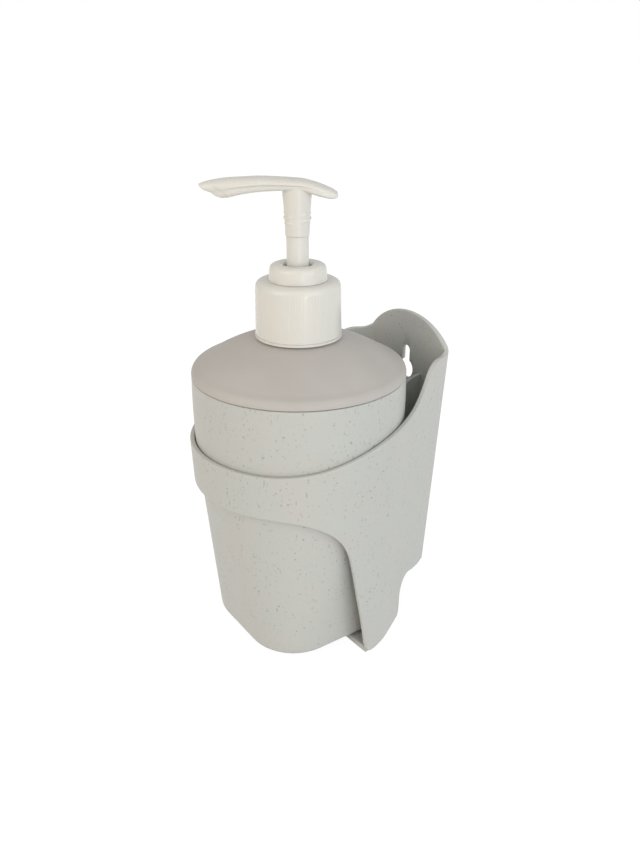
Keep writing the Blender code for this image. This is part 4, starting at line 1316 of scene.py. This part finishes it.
@dataclass
class Holder:
    """The wall holder: plate, sides, band and legs in one wall, with strap, fins and keyhole.

    The wall is a function of station and height.  Station 0 is the plate's middle, 1 its
    corner, 2 the place where the side meets the round band and 3 the middle of the front;
    the -X side has negative stations.

    Attributes:
        narrowing: how much the plate's half width shrinks for each metre down.
        foot_rise: how much the plate's lower edge rises towards its corners.
        draft: how much the wall's radius shrinks for each metre down.
        station_length: length of one station, for measuring along an edge.
        fin_edge: how far the fin's edges spread outwards at its faces.
        fin_ease: how far the fin's second front point stands back from the cup.
        rim_ease: depth past the rounded rim at which the wall's even rows start.
        chamfer: size of the keyhole's broken edges.
        cutter_over: how far the keyhole's cutter stands out of the plate.
        blurs: how much the upper edge, middle line and lower edge are smoothed, in columns.
        middle: station, and height in mm, of the line between the two edges.
        lower_pairs: station of a column, then station and height in mm of the lower edge there.
    """

    wall: float = 1.9 * MM
    plate_y: float = 60.1 * MM
    corner_half: float = 24.4 * MM
    narrowing: float = 0.078
    arch_rise: float = 11.4 * MM
    plate_bottom: float = 7.8 * MM
    foot_rise: float = 2.2 * MM
    band_bottom: float = 70.0 * MM
    band_top: float = 88.1 * MM
    band_radius: float = 44.86 * MM
    draft: float = 0.037
    corner_height: float = 117.0 * MM
    corner_round: float = 1.9 * MM
    strap_top: float = -0.3 * MM
    strap_bottom: float = -2.9 * MM
    strap_front: float = 4.0 * MM
    strap_back: float = 30.0 * MM
    step_top: float = 16.0 * MM
    fin_x: float = 9.4 * MM
    fin_half: float = 0.9 * MM
    fin_top: float = 102.0 * MM
    fin_bottom: float = 20.0 * MM
    fin_round: float = 14.0 * MM
    fin_gap: float = 0.6 * MM
    keyhole_height: float = 102.4 * MM
    keyhole_radius: float = 4.4 * MM
    slot_radius: float = 2.1 * MM
    slot_top: float = 113.0 * MM
    rim_round: float = 0.5 * MM
    columns: int = 340
    station_length: float = 48.0 * MM
    fin_edge: float = 0.4 * MM
    fin_ease: float = 0.4 * MM
    rim_ease: float = 0.45 * MM
    chamfer: float = 0.35 * MM
    cutter_over: float = 0.8 * MM
    blurs: tuple[float, float, float] = (3.0, 6.0, 1.4)
    middle: tuple[tuple[float, float], ...] = (
        (0.0, 62.0), (1.0, 62.0), (1.5, 58.0), (1.9, 58.0), (2.2, 68.0), (2.45, 74.0),
        (2.66, 79.0), (3.0, 79.0))
    lower_pairs: tuple[tuple[float, float, float], ...] = (
        (0.0, 0.0, 7.8), (1.0, 1.0, 10.0), (1.50, 1.54, 15.81), (1.66, 1.676, 2.77),
        (1.76, 1.725, -2.9), (2.02, 2.188, -2.9), (2.12, 2.254, 27.7), (2.20, 2.291, 44.8),
        (2.30, 2.34, 57.1), (2.42, 2.43, 64.9), (2.66, 2.66, 70.0), (3.0, 3.0, 70.0))

    def point(self, station: np.ndarray, height: np.ndarray,
              inset: Union[float, np.ndarray]) -> np.ndarray:
        """Work out points of the wall at a depth inside its outer face.

        The plate is a flat line, the side a line that touches the band's circle, and the
        corner between them a curve (1-t)^2 A + 2t(1-t) C + t^2 B about the corner C.

        Args:
            station: stations, negative on the -X side.
            height: heights above the cup's underside.
            inset: depth inside the outer face.

        Returns:
            The points, with xyz as the last axis.
        """
        side, s = np.where(station < 0, -1.0, 1.0), np.abs(station)
        radius = self.band_radius - self.draft * (self.band_top - height)
        half = self.corner_half - self.narrowing * (self.corner_height - height)
        facing = np.arctan2(self.plate_y, half) - np.arccos(radius / np.hypot(half, self.plate_y))
        radius, plate = radius - inset, self.plate_y - inset + 0 * height
        corner = (radius - plate * np.sin(facing)) / np.cos(facing)
        touch_x, touch_y = radius * np.cos(facing), radius * np.sin(facing)
        length = np.hypot(touch_x - corner, touch_y - plate)
        share = np.clip(s - 1, 0.0, 1.0)
        side_x, side_y = corner + (touch_x - corner) * share, plate + (touch_y - plate) * share
        angle = facing - (math.pi / 2 + facing) * np.maximum(s - 2, 0.0)
        x = np.where(s <= 1, corner * s, np.where(s <= 2, side_x, radius * np.cos(angle)))
        y = np.where(s <= 1, plate, np.where(s <= 2, side_y, radius * np.sin(angle)))
        reach = self.corner_round - 0.6 * inset
        off = (s - 1) * np.where(s <= 1, corner, length)
        t = np.clip((off + reach) / (2 * reach), 0.0, 1.0)
        bend_x = (1 - t) ** 2 * (corner - reach) + 2 * t * (1 - t) * corner
        bend_x = bend_x + t ** 2 * (corner + (touch_x - corner) / length * reach)
        bend_y = (1 - t ** 2) * plate + t ** 2 * (plate + (touch_y - plate) / length * reach)
        in_corner = np.abs(off) < reach
        x, y = np.where(in_corner, bend_x, x), np.where(in_corner, bend_y, y)
        return np.stack([side * x, y, height + 0 * x], axis=-1)

    def edges(self) -> tuple[np.ndarray, np.ndarray, np.ndarray]:
        """Return the upper edge, the middle line and the lower edge as closed loops.

        Returns:
            Three arrays of (station, height), one row to a column of the wall.
        """
        station = np.linspace(0.0, FRONT, self.columns)
        flat = np.linspace(0.0, 1.0, 60)[:-1]
        arch_radius = (self.corner_half ** 2 + self.arch_rise ** 2) / (2 * self.arch_rise)
        arch = self.corner_height + self.arch_rise - arch_radius
        arch = arch + np.sqrt(arch_radius ** 2 - (self.corner_half * flat) ** 2)
        top = smooth_path(TOP_EDGE, 12)
        climb = self.corner_height - self.band_top
        upper_s = np.concatenate([flat, top[:, 0]])
        upper_z = np.concatenate([arch, self.band_top + climb * top[:, 1]])
        foot = np.linspace(0.0, 1.0, 80)
        step, arch_low = smooth_path(STEP_EDGE, 16), smooth_path(ARCH_EDGE, 12)
        foot_lift = self.foot_rise * np.clip((foot - 0.7) / 0.3, 0, 1) ** 2.5
        step_climb = self.step_top - self.strap_bottom
        arch_climb = self.band_bottom - self.strap_bottom
        lower = np.vstack([
            np.column_stack([foot, self.plate_bottom + foot_lift]),
            np.column_stack([step[:, 0], self.strap_bottom + step[:, 1] * step_climb]),
            np.column_stack([arch_low[:, 0], self.strap_bottom + arch_low[:, 1] * arch_climb])])
        pairs = np.array(self.lower_pairs)
        measure = np.array([[self.station_length, 1.0]])
        spans = np.linalg.norm(np.diff(lower * measure, axis=0), axis=1)
        run = np.concatenate([[0.0], np.cumsum(spans)])
        goal = pairs[:, 1:] * np.array([[1.0, MM]])
        off = (lower[None] - goal[:, None]) * measure[None]
        nearest = np.linalg.norm(off, axis=-1).argmin(axis=1)
        along = np.interp(station, pairs[:, 0], run[nearest])
        low = np.column_stack([np.interp(along, run, lower[:, k]) for k in range(2)])
        high = np.column_stack([station, np.interp(station, upper_s, upper_z)])
        centre = np.array(self.middle)
        mid = np.column_stack([station, np.interp(station, centre[:, 0], centre[:, 1] * MM)])
        loops = zip((high, mid, low), self.blurs)
        return tuple(self.around(loop, blur) for loop, blur in loops)

    @staticmethod
    def around(half: np.ndarray, blur: float) -> np.ndarray:
        """Make a closed loop from its +X half, smoothed a little along its length.

        The smoothing is a circular convolution with a bell curve, on the angle-like station
        and on the height.

        Args:
            half: (station, height) from the plate's middle to the front's middle.
            blur: width of the bell, in columns.

        Returns:
            The loop as (station, height), with stations from -3 to 3.
        """
        other = half[-2:0:-1] * np.array([[-1.0, 1.0]])
        unrolled = np.vstack([half, np.column_stack([ALL_ROUND + other[:, 0], other[:, 1]])])
        count = len(unrolled)
        even = np.linspace(0.0, ALL_ROUND, count, endpoint=False)
        line = np.column_stack([even, np.zeros(count)])
        offset = np.arange(-BELL_REACH, BELL_REACH + 1)
        bell = np.exp(-0.5 * (offset / blur) ** 2)
        bell /= bell.sum()
        wave = unrolled - line
        rows = (np.arange(count)[:, None] + offset[None]) % count
        smooth = (wave[rows] * bell[None, :, None]).sum(axis=1) + line
        past = smooth[:, 0] > FRONT
        smooth[:, 0] = np.where(past, smooth[:, 0] - ALL_ROUND, smooth[:, 0])
        return smooth

    def inward(self, loop: np.ndarray, sign: float) -> np.ndarray:
        """Work out how station and height change for each metre in from an edge.

        The direction W, along the wall, is the cross product of the wall's normal and the
        edge's tangent, and the change solves J (ds, dz) = W by least squares, J being the
        wall's two tangents.

        Args:
            loop: the edge's stations and heights.
            sign: 1 for the lower edge and -1 for the upper.

        Returns:
            The change of (station, height), one row to a point of the edge.
        """
        tiny_s, tiny_z = 2e-4, 1e-5
        s, z = loop[:, 0], loop[:, 1]
        along = (self.point(s + tiny_s, z, 0.0) - self.point(s - tiny_s, z, 0.0)) / (2 * tiny_s)
        up = (self.point(s, z + tiny_z, 0.0) - self.point(s, z - tiny_z, 0.0)) / (2 * tiny_z)
        place = self.point(s, z, 0.0)
        tangent = np.roll(place, -1, axis=0) - np.roll(place, 1, axis=0)
        way = sign * np.cross(np.cross(along, up), tangent)
        way /= np.linalg.norm(way, axis=1, keepdims=True)
        aa, au, uu = (along * along).sum(1), (along * up).sum(1), (up * up).sum(1)
        wa, wu = (way * along).sum(1), (way * up).sum(1)
        det = aa * uu - au ** 2
        return np.column_stack([(uu * wa - au * wu) / det, (aa * wu - au * wa) / det])

    def shell(self) -> Surface:
        """Build the wall with rounded edges.

        Rows run down the outer face, round the lower edge, up the inner face and round the
        upper edge, and columns run round the whole holder.

        Returns:
            The closed surface.
        """
        high, mid, low = self.edges()
        in_high, in_low = self.inward(high, -1.0), self.inward(low, 1.0)
        turn = np.linspace(0.0, math.pi / 2, 6)
        reach, depth = self.rim_round * (1 - np.sin(turn)), self.rim_round * (1 - np.cos(turn))
        rim_reach = np.concatenate([reach, reach[::-1]])
        rim_depth = np.concatenate([depth, self.wall - depth[::-1]])
        full = self.rim_round
        near = full + self.rim_ease
        start, end = high + in_high * near, low + in_low * near
        down = np.linspace(0.0, 1.0, 9)[:, None, None]
        further = np.linspace(0.0, 1.0, 14)[1:, None, None]
        skin = np.concatenate([(high + in_high * full)[None], self.mixed(start, mid, down),
                               self.mixed(mid, end, further), (low + in_low * full)[None]])
        outer = self.point(skin[..., 0], skin[..., 1], 0.0)
        inner = self.point(skin[::-1, :, 0], skin[::-1, :, 1], self.wall)
        swing = slice(1, -1)
        bottom = low[None] + in_low[None] * rim_reach[swing, None, None]
        under = self.point(bottom[..., 0], bottom[..., 1], rim_depth[swing, None])
        top = high[None] + in_high[None] * rim_reach[::-1][swing, None, None]
        over = self.point(top[..., 0], top[..., 1], rim_depth[::-1][swing, None])
        return grid(np.concatenate([outer, under, inner, over]), rows_closed=True)

    @staticmethod
    def mixed(first: np.ndarray, second: np.ndarray, share: np.ndarray) -> np.ndarray:
        """Mix two loops, with stations taken the short way round the front.

        Args:
            first: the loop at share 0.
            second: the loop at share 1.
            share: shares, one to a row.

        Returns:
            The loops between them.
        """
        gap = second - first
        gap[:, 0] = (gap[:, 0] + FRONT) % ALL_ROUND - FRONT
        between = first[None] + gap[None] * share
        between[..., 0] = (between[..., 0] + FRONT) % ALL_ROUND - FRONT
        return between

    def strap(self) -> Surface:
        """Build the floor strap: a rounded bar whose ends lie inside the legs' thickness.

        Returns:
            The closed surface.
        """
        low, high = self.strap_bottom + 0.02 * MM, self.strap_top
        profile = rounded([
            (self.strap_front, low, 0.6 * MM), (self.strap_back, low, 0.6 * MM),
            (self.strap_back, high, 0.6 * MM), (self.strap_front, high, 0.6 * MM)], True)
        profile = refined(profile, 2.0 * MM, True)
        station = np.linspace(1.5, 2.3, 161)
        legs = self.point(station, station * 0.0 + self.strap_bottom, self.wall / 2)
        reach = np.interp(profile[:, 0], legs[::-1, 1], legs[::-1, 0])
        share = np.linspace(-1.0, 1.0, 21)[:, None]
        rows = np.stack([share * reach[None], profile[None, :, 0] + 0 * share,
                         profile[None, :, 1] + 0 * share], axis=-1)
        return grid(rows)

    def slab(self, outline: np.ndarray, half: float, edge: float, steps: int = 5) -> np.ndarray:
        """Work out rings of a flat slab.

        Its edges are rounded if the outline runs anticlockwise.  If it runs clockwise they
        spread outwards at the faces by the same amount.

        Args:
            outline: closed outline of the slab.
            half: half its thickness.
            edge: how far its edges are drawn in, or spread, at the faces.
            steps: steps of each edge.

        Returns:
            Points as (ring, place round it, (across, u, v)).
        """
        tangent = np.roll(outline, -1, axis=0) - np.roll(outline, 1, axis=0)
        tangent /= np.linalg.norm(tangent, axis=1, keepdims=True)
        inward = np.column_stack([-tangent[:, 1], tangent[:, 0]])
        angle = np.linspace(0.0, math.pi / 2, steps)
        inset = edge * (1 - np.sin(angle))
        across = half - edge * (1 - np.cos(angle))
        inset = np.concatenate([inset, inset[::-1]])[:, None, None]
        across = np.concatenate([-across, across[::-1]])[:, None, None]
        flat = outline[None] + inward[None] * inset
        return np.concatenate([across + 0 * flat[..., :1], flat], axis=-1)

    def fin(self, side: int, cup: Cup) -> Surface:
        """Build one locating fin behind the cup.

        The outline runs clockwise, so the fin's edges aren't rounded but spread outwards at
        its faces by fin_edge.

        Args:
            side: 1 for the +X fin and -1 for the other.
            cup: the cup that its front edge follows.

        Returns:
            The closed surface.
        """
        root = self.plate_y - self.wall / 2
        height = np.linspace(self.fin_bottom, self.fin_top - self.fin_round, 36)
        front = np.column_stack([cup.section(height)[0] + self.fin_gap, height])
        turn = np.linspace(0.0, math.pi / 2, 16)[1:]
        crown = np.column_stack([
            front[-1, 0] + self.fin_round * (1 - np.cos(turn)),
            self.fin_top - self.fin_round + self.fin_round * np.sin(turn)])
        outline = np.vstack([[[root, self.fin_top], [root, self.fin_bottom]], front, crown])
        outline[3, 0] += self.fin_ease
        rows = self.slab(outline, self.fin_half, self.fin_edge)
        rows[..., 0] = rows[..., 0] + side * self.fin_x
        return grid(rows)

    def keyhole(self) -> Surface:
        """Build the keyhole's cutter, a little wider where it leaves each face.

        Returns:
            The closed surface that is cut away.
        """
        join = math.asin(self.slot_radius / self.keyhole_radius)
        bulb = np.linspace(join, TAU - join, 60)
        cap = np.linspace(math.pi, 0.0, 24)
        centre = self.slot_top - self.slot_radius
        outline = np.vstack([
            np.column_stack([self.keyhole_radius * np.sin(bulb),
                             self.keyhole_height + self.keyhole_radius * np.cos(bulb)]),
            np.column_stack([self.slot_radius * np.cos(cap),
                             centre + self.slot_radius * np.sin(cap)])])
        outline = refined(outline, 0.5 * MM, True)
        tangent = np.roll(outline, -1, axis=0) - np.roll(outline, 1, axis=0)
        tangent /= np.linalg.norm(tangent, axis=1, keepdims=True)
        outward = np.column_stack([-tangent[:, 1], tangent[:, 0]])
        chamfer, over = self.chamfer, self.cutter_over
        inner, outer = self.plate_y - self.wall, self.plate_y
        depth = np.array([inner - over, inner, inner + chamfer * 0.3, inner + chamfer,
                          outer - chamfer, outer - chamfer * 0.3, outer, outer + over])
        grow = np.array([chamfer + over, chamfer, chamfer * 0.3, 0.0,
                         0.0, chamfer * 0.3, chamfer, chamfer + over])
        flat = outline[None] + outward[None] * grow[:, None, None]
        rows = np.stack([flat[..., 0], depth[:, None] + 0 * flat[..., 0], flat[..., 1]], axis=-1)
        return grid(rows)

    def build(self, cup: Cup) -> bpy.types.Mesh:
        """Return the holder in one mesh."""
        joined = [self.strap(), self.fin(1, cup), self.fin(-1, cup)]
        return solved("holder", self.shell(), joined, [self.keyhole()])


@dataclass
class InnerWorks:
    """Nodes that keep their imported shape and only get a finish."""

    white: tuple[str, ...] = ("pump_housing", "ball_retainer", "outlet_plug")
    rubber: tuple[str, ...] = ("lid_seal_ring", "neck_gasket", "piston")
    tube: tuple[str, ...] = ("dip_tube",)
    wire: tuple[str, ...] = ("return_spring",)
    ball: tuple[str, ...] = ("inlet_ball",)

    def dress(self, white: bpy.types.Material) -> None:
        """Assign a finish to every inner node.

        Args:
            white: the pump's milky plastic.
        """
        choices = (
            (self.white, white), (self.rubber, SealRubber().build()),
            (self.tube, TubePlastic().build()),
            (self.wire, BrightSteel("spring_steel").build()),
            (self.ball, BrightSteel("ball_steel", (0.70, 0.70, 0.71), 0.12, 900.0).build()))
        for names, finish in choices:
            for name in names:
                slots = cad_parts[name].data.materials
                slots.clear()
                slots.append(finish)
                LOG.info("%s: kept, with %s", name, finish.name)


@dataclass(frozen=True)
class Lamp:
    """One soft lamp, placed by its direction as the camera sees the object.

    Attributes:
        name: its name.
        swing: degrees to the right of the camera.
        lift: degrees above level.
        distance: from the cup's middle.
        size: width and height.
        power: in watts.
        tint: colour of its light.
    """

    name: str
    swing: float
    lift: float
    distance: float
    size: tuple[float, float]
    power: float
    tint: Colour = (1.0, 1.0, 1.0)


@dataclass
class Studio:
    """Camera, lamps, world and floor."""

    eye: tuple[float, float, float] = (0.2447, -0.1749, 0.2258)
    heading: float = math.radians(52.85)
    pitch: float = math.radians(24.36)
    focal_pixels: float = 800.0
    picture_height: float = 852.0
    sensor: float = 36.0
    middle: tuple[float, float, float] = (0.0, 0.0, 0.09)
    floor_size: float = 6.0
    ambient: float = 0.59
    ambient_tint: tuple[float, float, float, float] = (1.0, 0.995, 0.985, 1.0)
    nearest: float = 0.01
    lamps: tuple[Lamp, ...] = (
        Lamp("key", 40.0, 20.0, 1.3, (1.3, 1.3), 6.9, (0.97, 0.99, 1.0)),
        Lamp("fill", -52.0, 26.0, 1.4, (0.9, 0.9), 5.3, (1.0, 0.83, 0.63)),
        Lamp("glint", 19.0, 0.0, 0.33, (0.006, 0.038), 0.045),
    )

    def camera(self) -> None:
        """Set the camera: the focal length in pixels times the sensor over the picture's height."""
        data = bpy.data.cameras.new("camera")
        data.lens = self.focal_pixels * self.sensor / self.picture_height
        data.sensor_width = self.sensor
        data.clip_start = self.nearest
        item = bpy.data.objects.new("camera", data)
        bpy.context.scene.collection.objects.link(item)
        item.location = Vector(self.eye) + Vector(PLACE)
        level = math.cos(self.pitch)
        forward = Vector((-math.sin(self.heading) * level, math.cos(self.heading) * level,
                          -math.sin(self.pitch)))
        item.rotation_euler = forward.to_track_quat("-Z", "Y").to_euler()
        bpy.context.scene.camera = item

    def light(self, lamp: Lamp) -> None:
        """Add one area lamp that faces the object.

        Args:
            lamp: its place, size and power.
        """
        data = bpy.data.lights.new(lamp.name, "AREA")
        data.shape = "RECTANGLE"
        data.size, data.size_y = lamp.size
        data.energy = lamp.power
        data.color = lamp.tint
        item = bpy.data.objects.new(lamp.name, data)
        bpy.context.scene.collection.objects.link(item)
        turn = self.heading - math.pi / 2 + math.radians(lamp.swing)
        lift = math.radians(lamp.lift)
        away = Vector((math.cos(turn) * math.cos(lift), math.sin(turn) * math.cos(lift),
                       math.sin(lift)))
        item.location = Vector(self.middle) + Vector(PLACE) + away * lamp.distance
        item.rotation_euler = (-away).to_track_quat("-Z", "Y").to_euler()

    def world(self) -> None:
        """Light the scene evenly and show white behind it."""
        world = bpy.data.worlds.new("studio")
        bpy.context.scene.world = world
        world.use_nodes = True
        tree = world.node_tree
        tree.nodes.clear()
        rays = tree.nodes.new("ShaderNodeLightPath")
        soft, plain = tree.nodes.new("ShaderNodeBackground"), tree.nodes.new("ShaderNodeBackground")
        soft.inputs["Color"].default_value = self.ambient_tint
        soft.inputs["Strength"].default_value = self.ambient
        plain.inputs["Strength"].default_value = 1.0
        plain.inputs["Color"].default_value = (1.0, 1.0, 1.0, 1.0)
        mix, out = tree.nodes.new("ShaderNodeMixShader"), tree.nodes.new("ShaderNodeOutputWorld")
        tree.links.new(rays.outputs["Is Camera Ray"], mix.inputs[0])
        tree.links.new(soft.outputs[0], mix.inputs[1])
        tree.links.new(plain.outputs[0], mix.inputs[2])
        tree.links.new(mix.outputs[0], out.inputs["Surface"])

    def floor(self, height: float) -> None:
        """Lay the floor.

        Args:
            height: height of the floor.
        """
        half = self.floor_size / 2
        mesh = bpy.data.meshes.new("floor")
        corners = [(-half, -half, height), (half, -half, height),
                   (half, half, height), (-half, half, height)]
        mesh.from_pydata(corners, [], [(0, 1, 2, 3)])
        mesh.materials.append(FloorPaint().build())
        item = bpy.data.objects.new("floor", mesh)
        bpy.context.scene.collection.objects.link(item)

    def build(self, floor_height: float) -> None:
        """Set everything that isn't the object.

        Args:
            floor_height: height of the floor.
        """
        self.camera()
        for lamp in self.lamps:
            self.light(lamp)
        self.world()
        self.floor(floor_height)
        bpy.context.scene.view_settings.view_transform = "Standard"


def main() -> None:
    """Build every piece in order and report it."""
    logging.basicConfig(level=logging.INFO, format="%(message)s")
    speckled, lid, white = SpeckledPlastic().build(), LidPlastic().build(), MilkyPlastic().build()
    cup = Cup()
    Piece("holder", Body.ROOT, Slot.SPECKLED).install(Holder().build(cup), speckled)
    Piece("cup_body", Body.BOTTLE, Slot.SPECKLED).install(cup.build(), speckled)
    Piece("lid_dome", Body.BOTTLE, Slot.LID).install(Lid().build(), lid)
    Piece("closure_collar", Body.COLLAR, Slot.PUMP_WHITE).install(Collar().build(), white)
    Piece("lock_ring", Body.PUMP, Slot.PUMP_WHITE).install(LockRing().build(), white)
    Piece("pump_stem", Body.HEAD, Slot.PUMP_WHITE).install(Stem().build(), white)
    Piece("actuator_head", Body.HEAD, Slot.PUMP_WHITE).install(Head().build(), white)
    InnerWorks().dress(white)
    Studio().build(float(CAD_BOX[0][2]) - FLOOR_GAP)


if __name__ == "__main__":
    main()
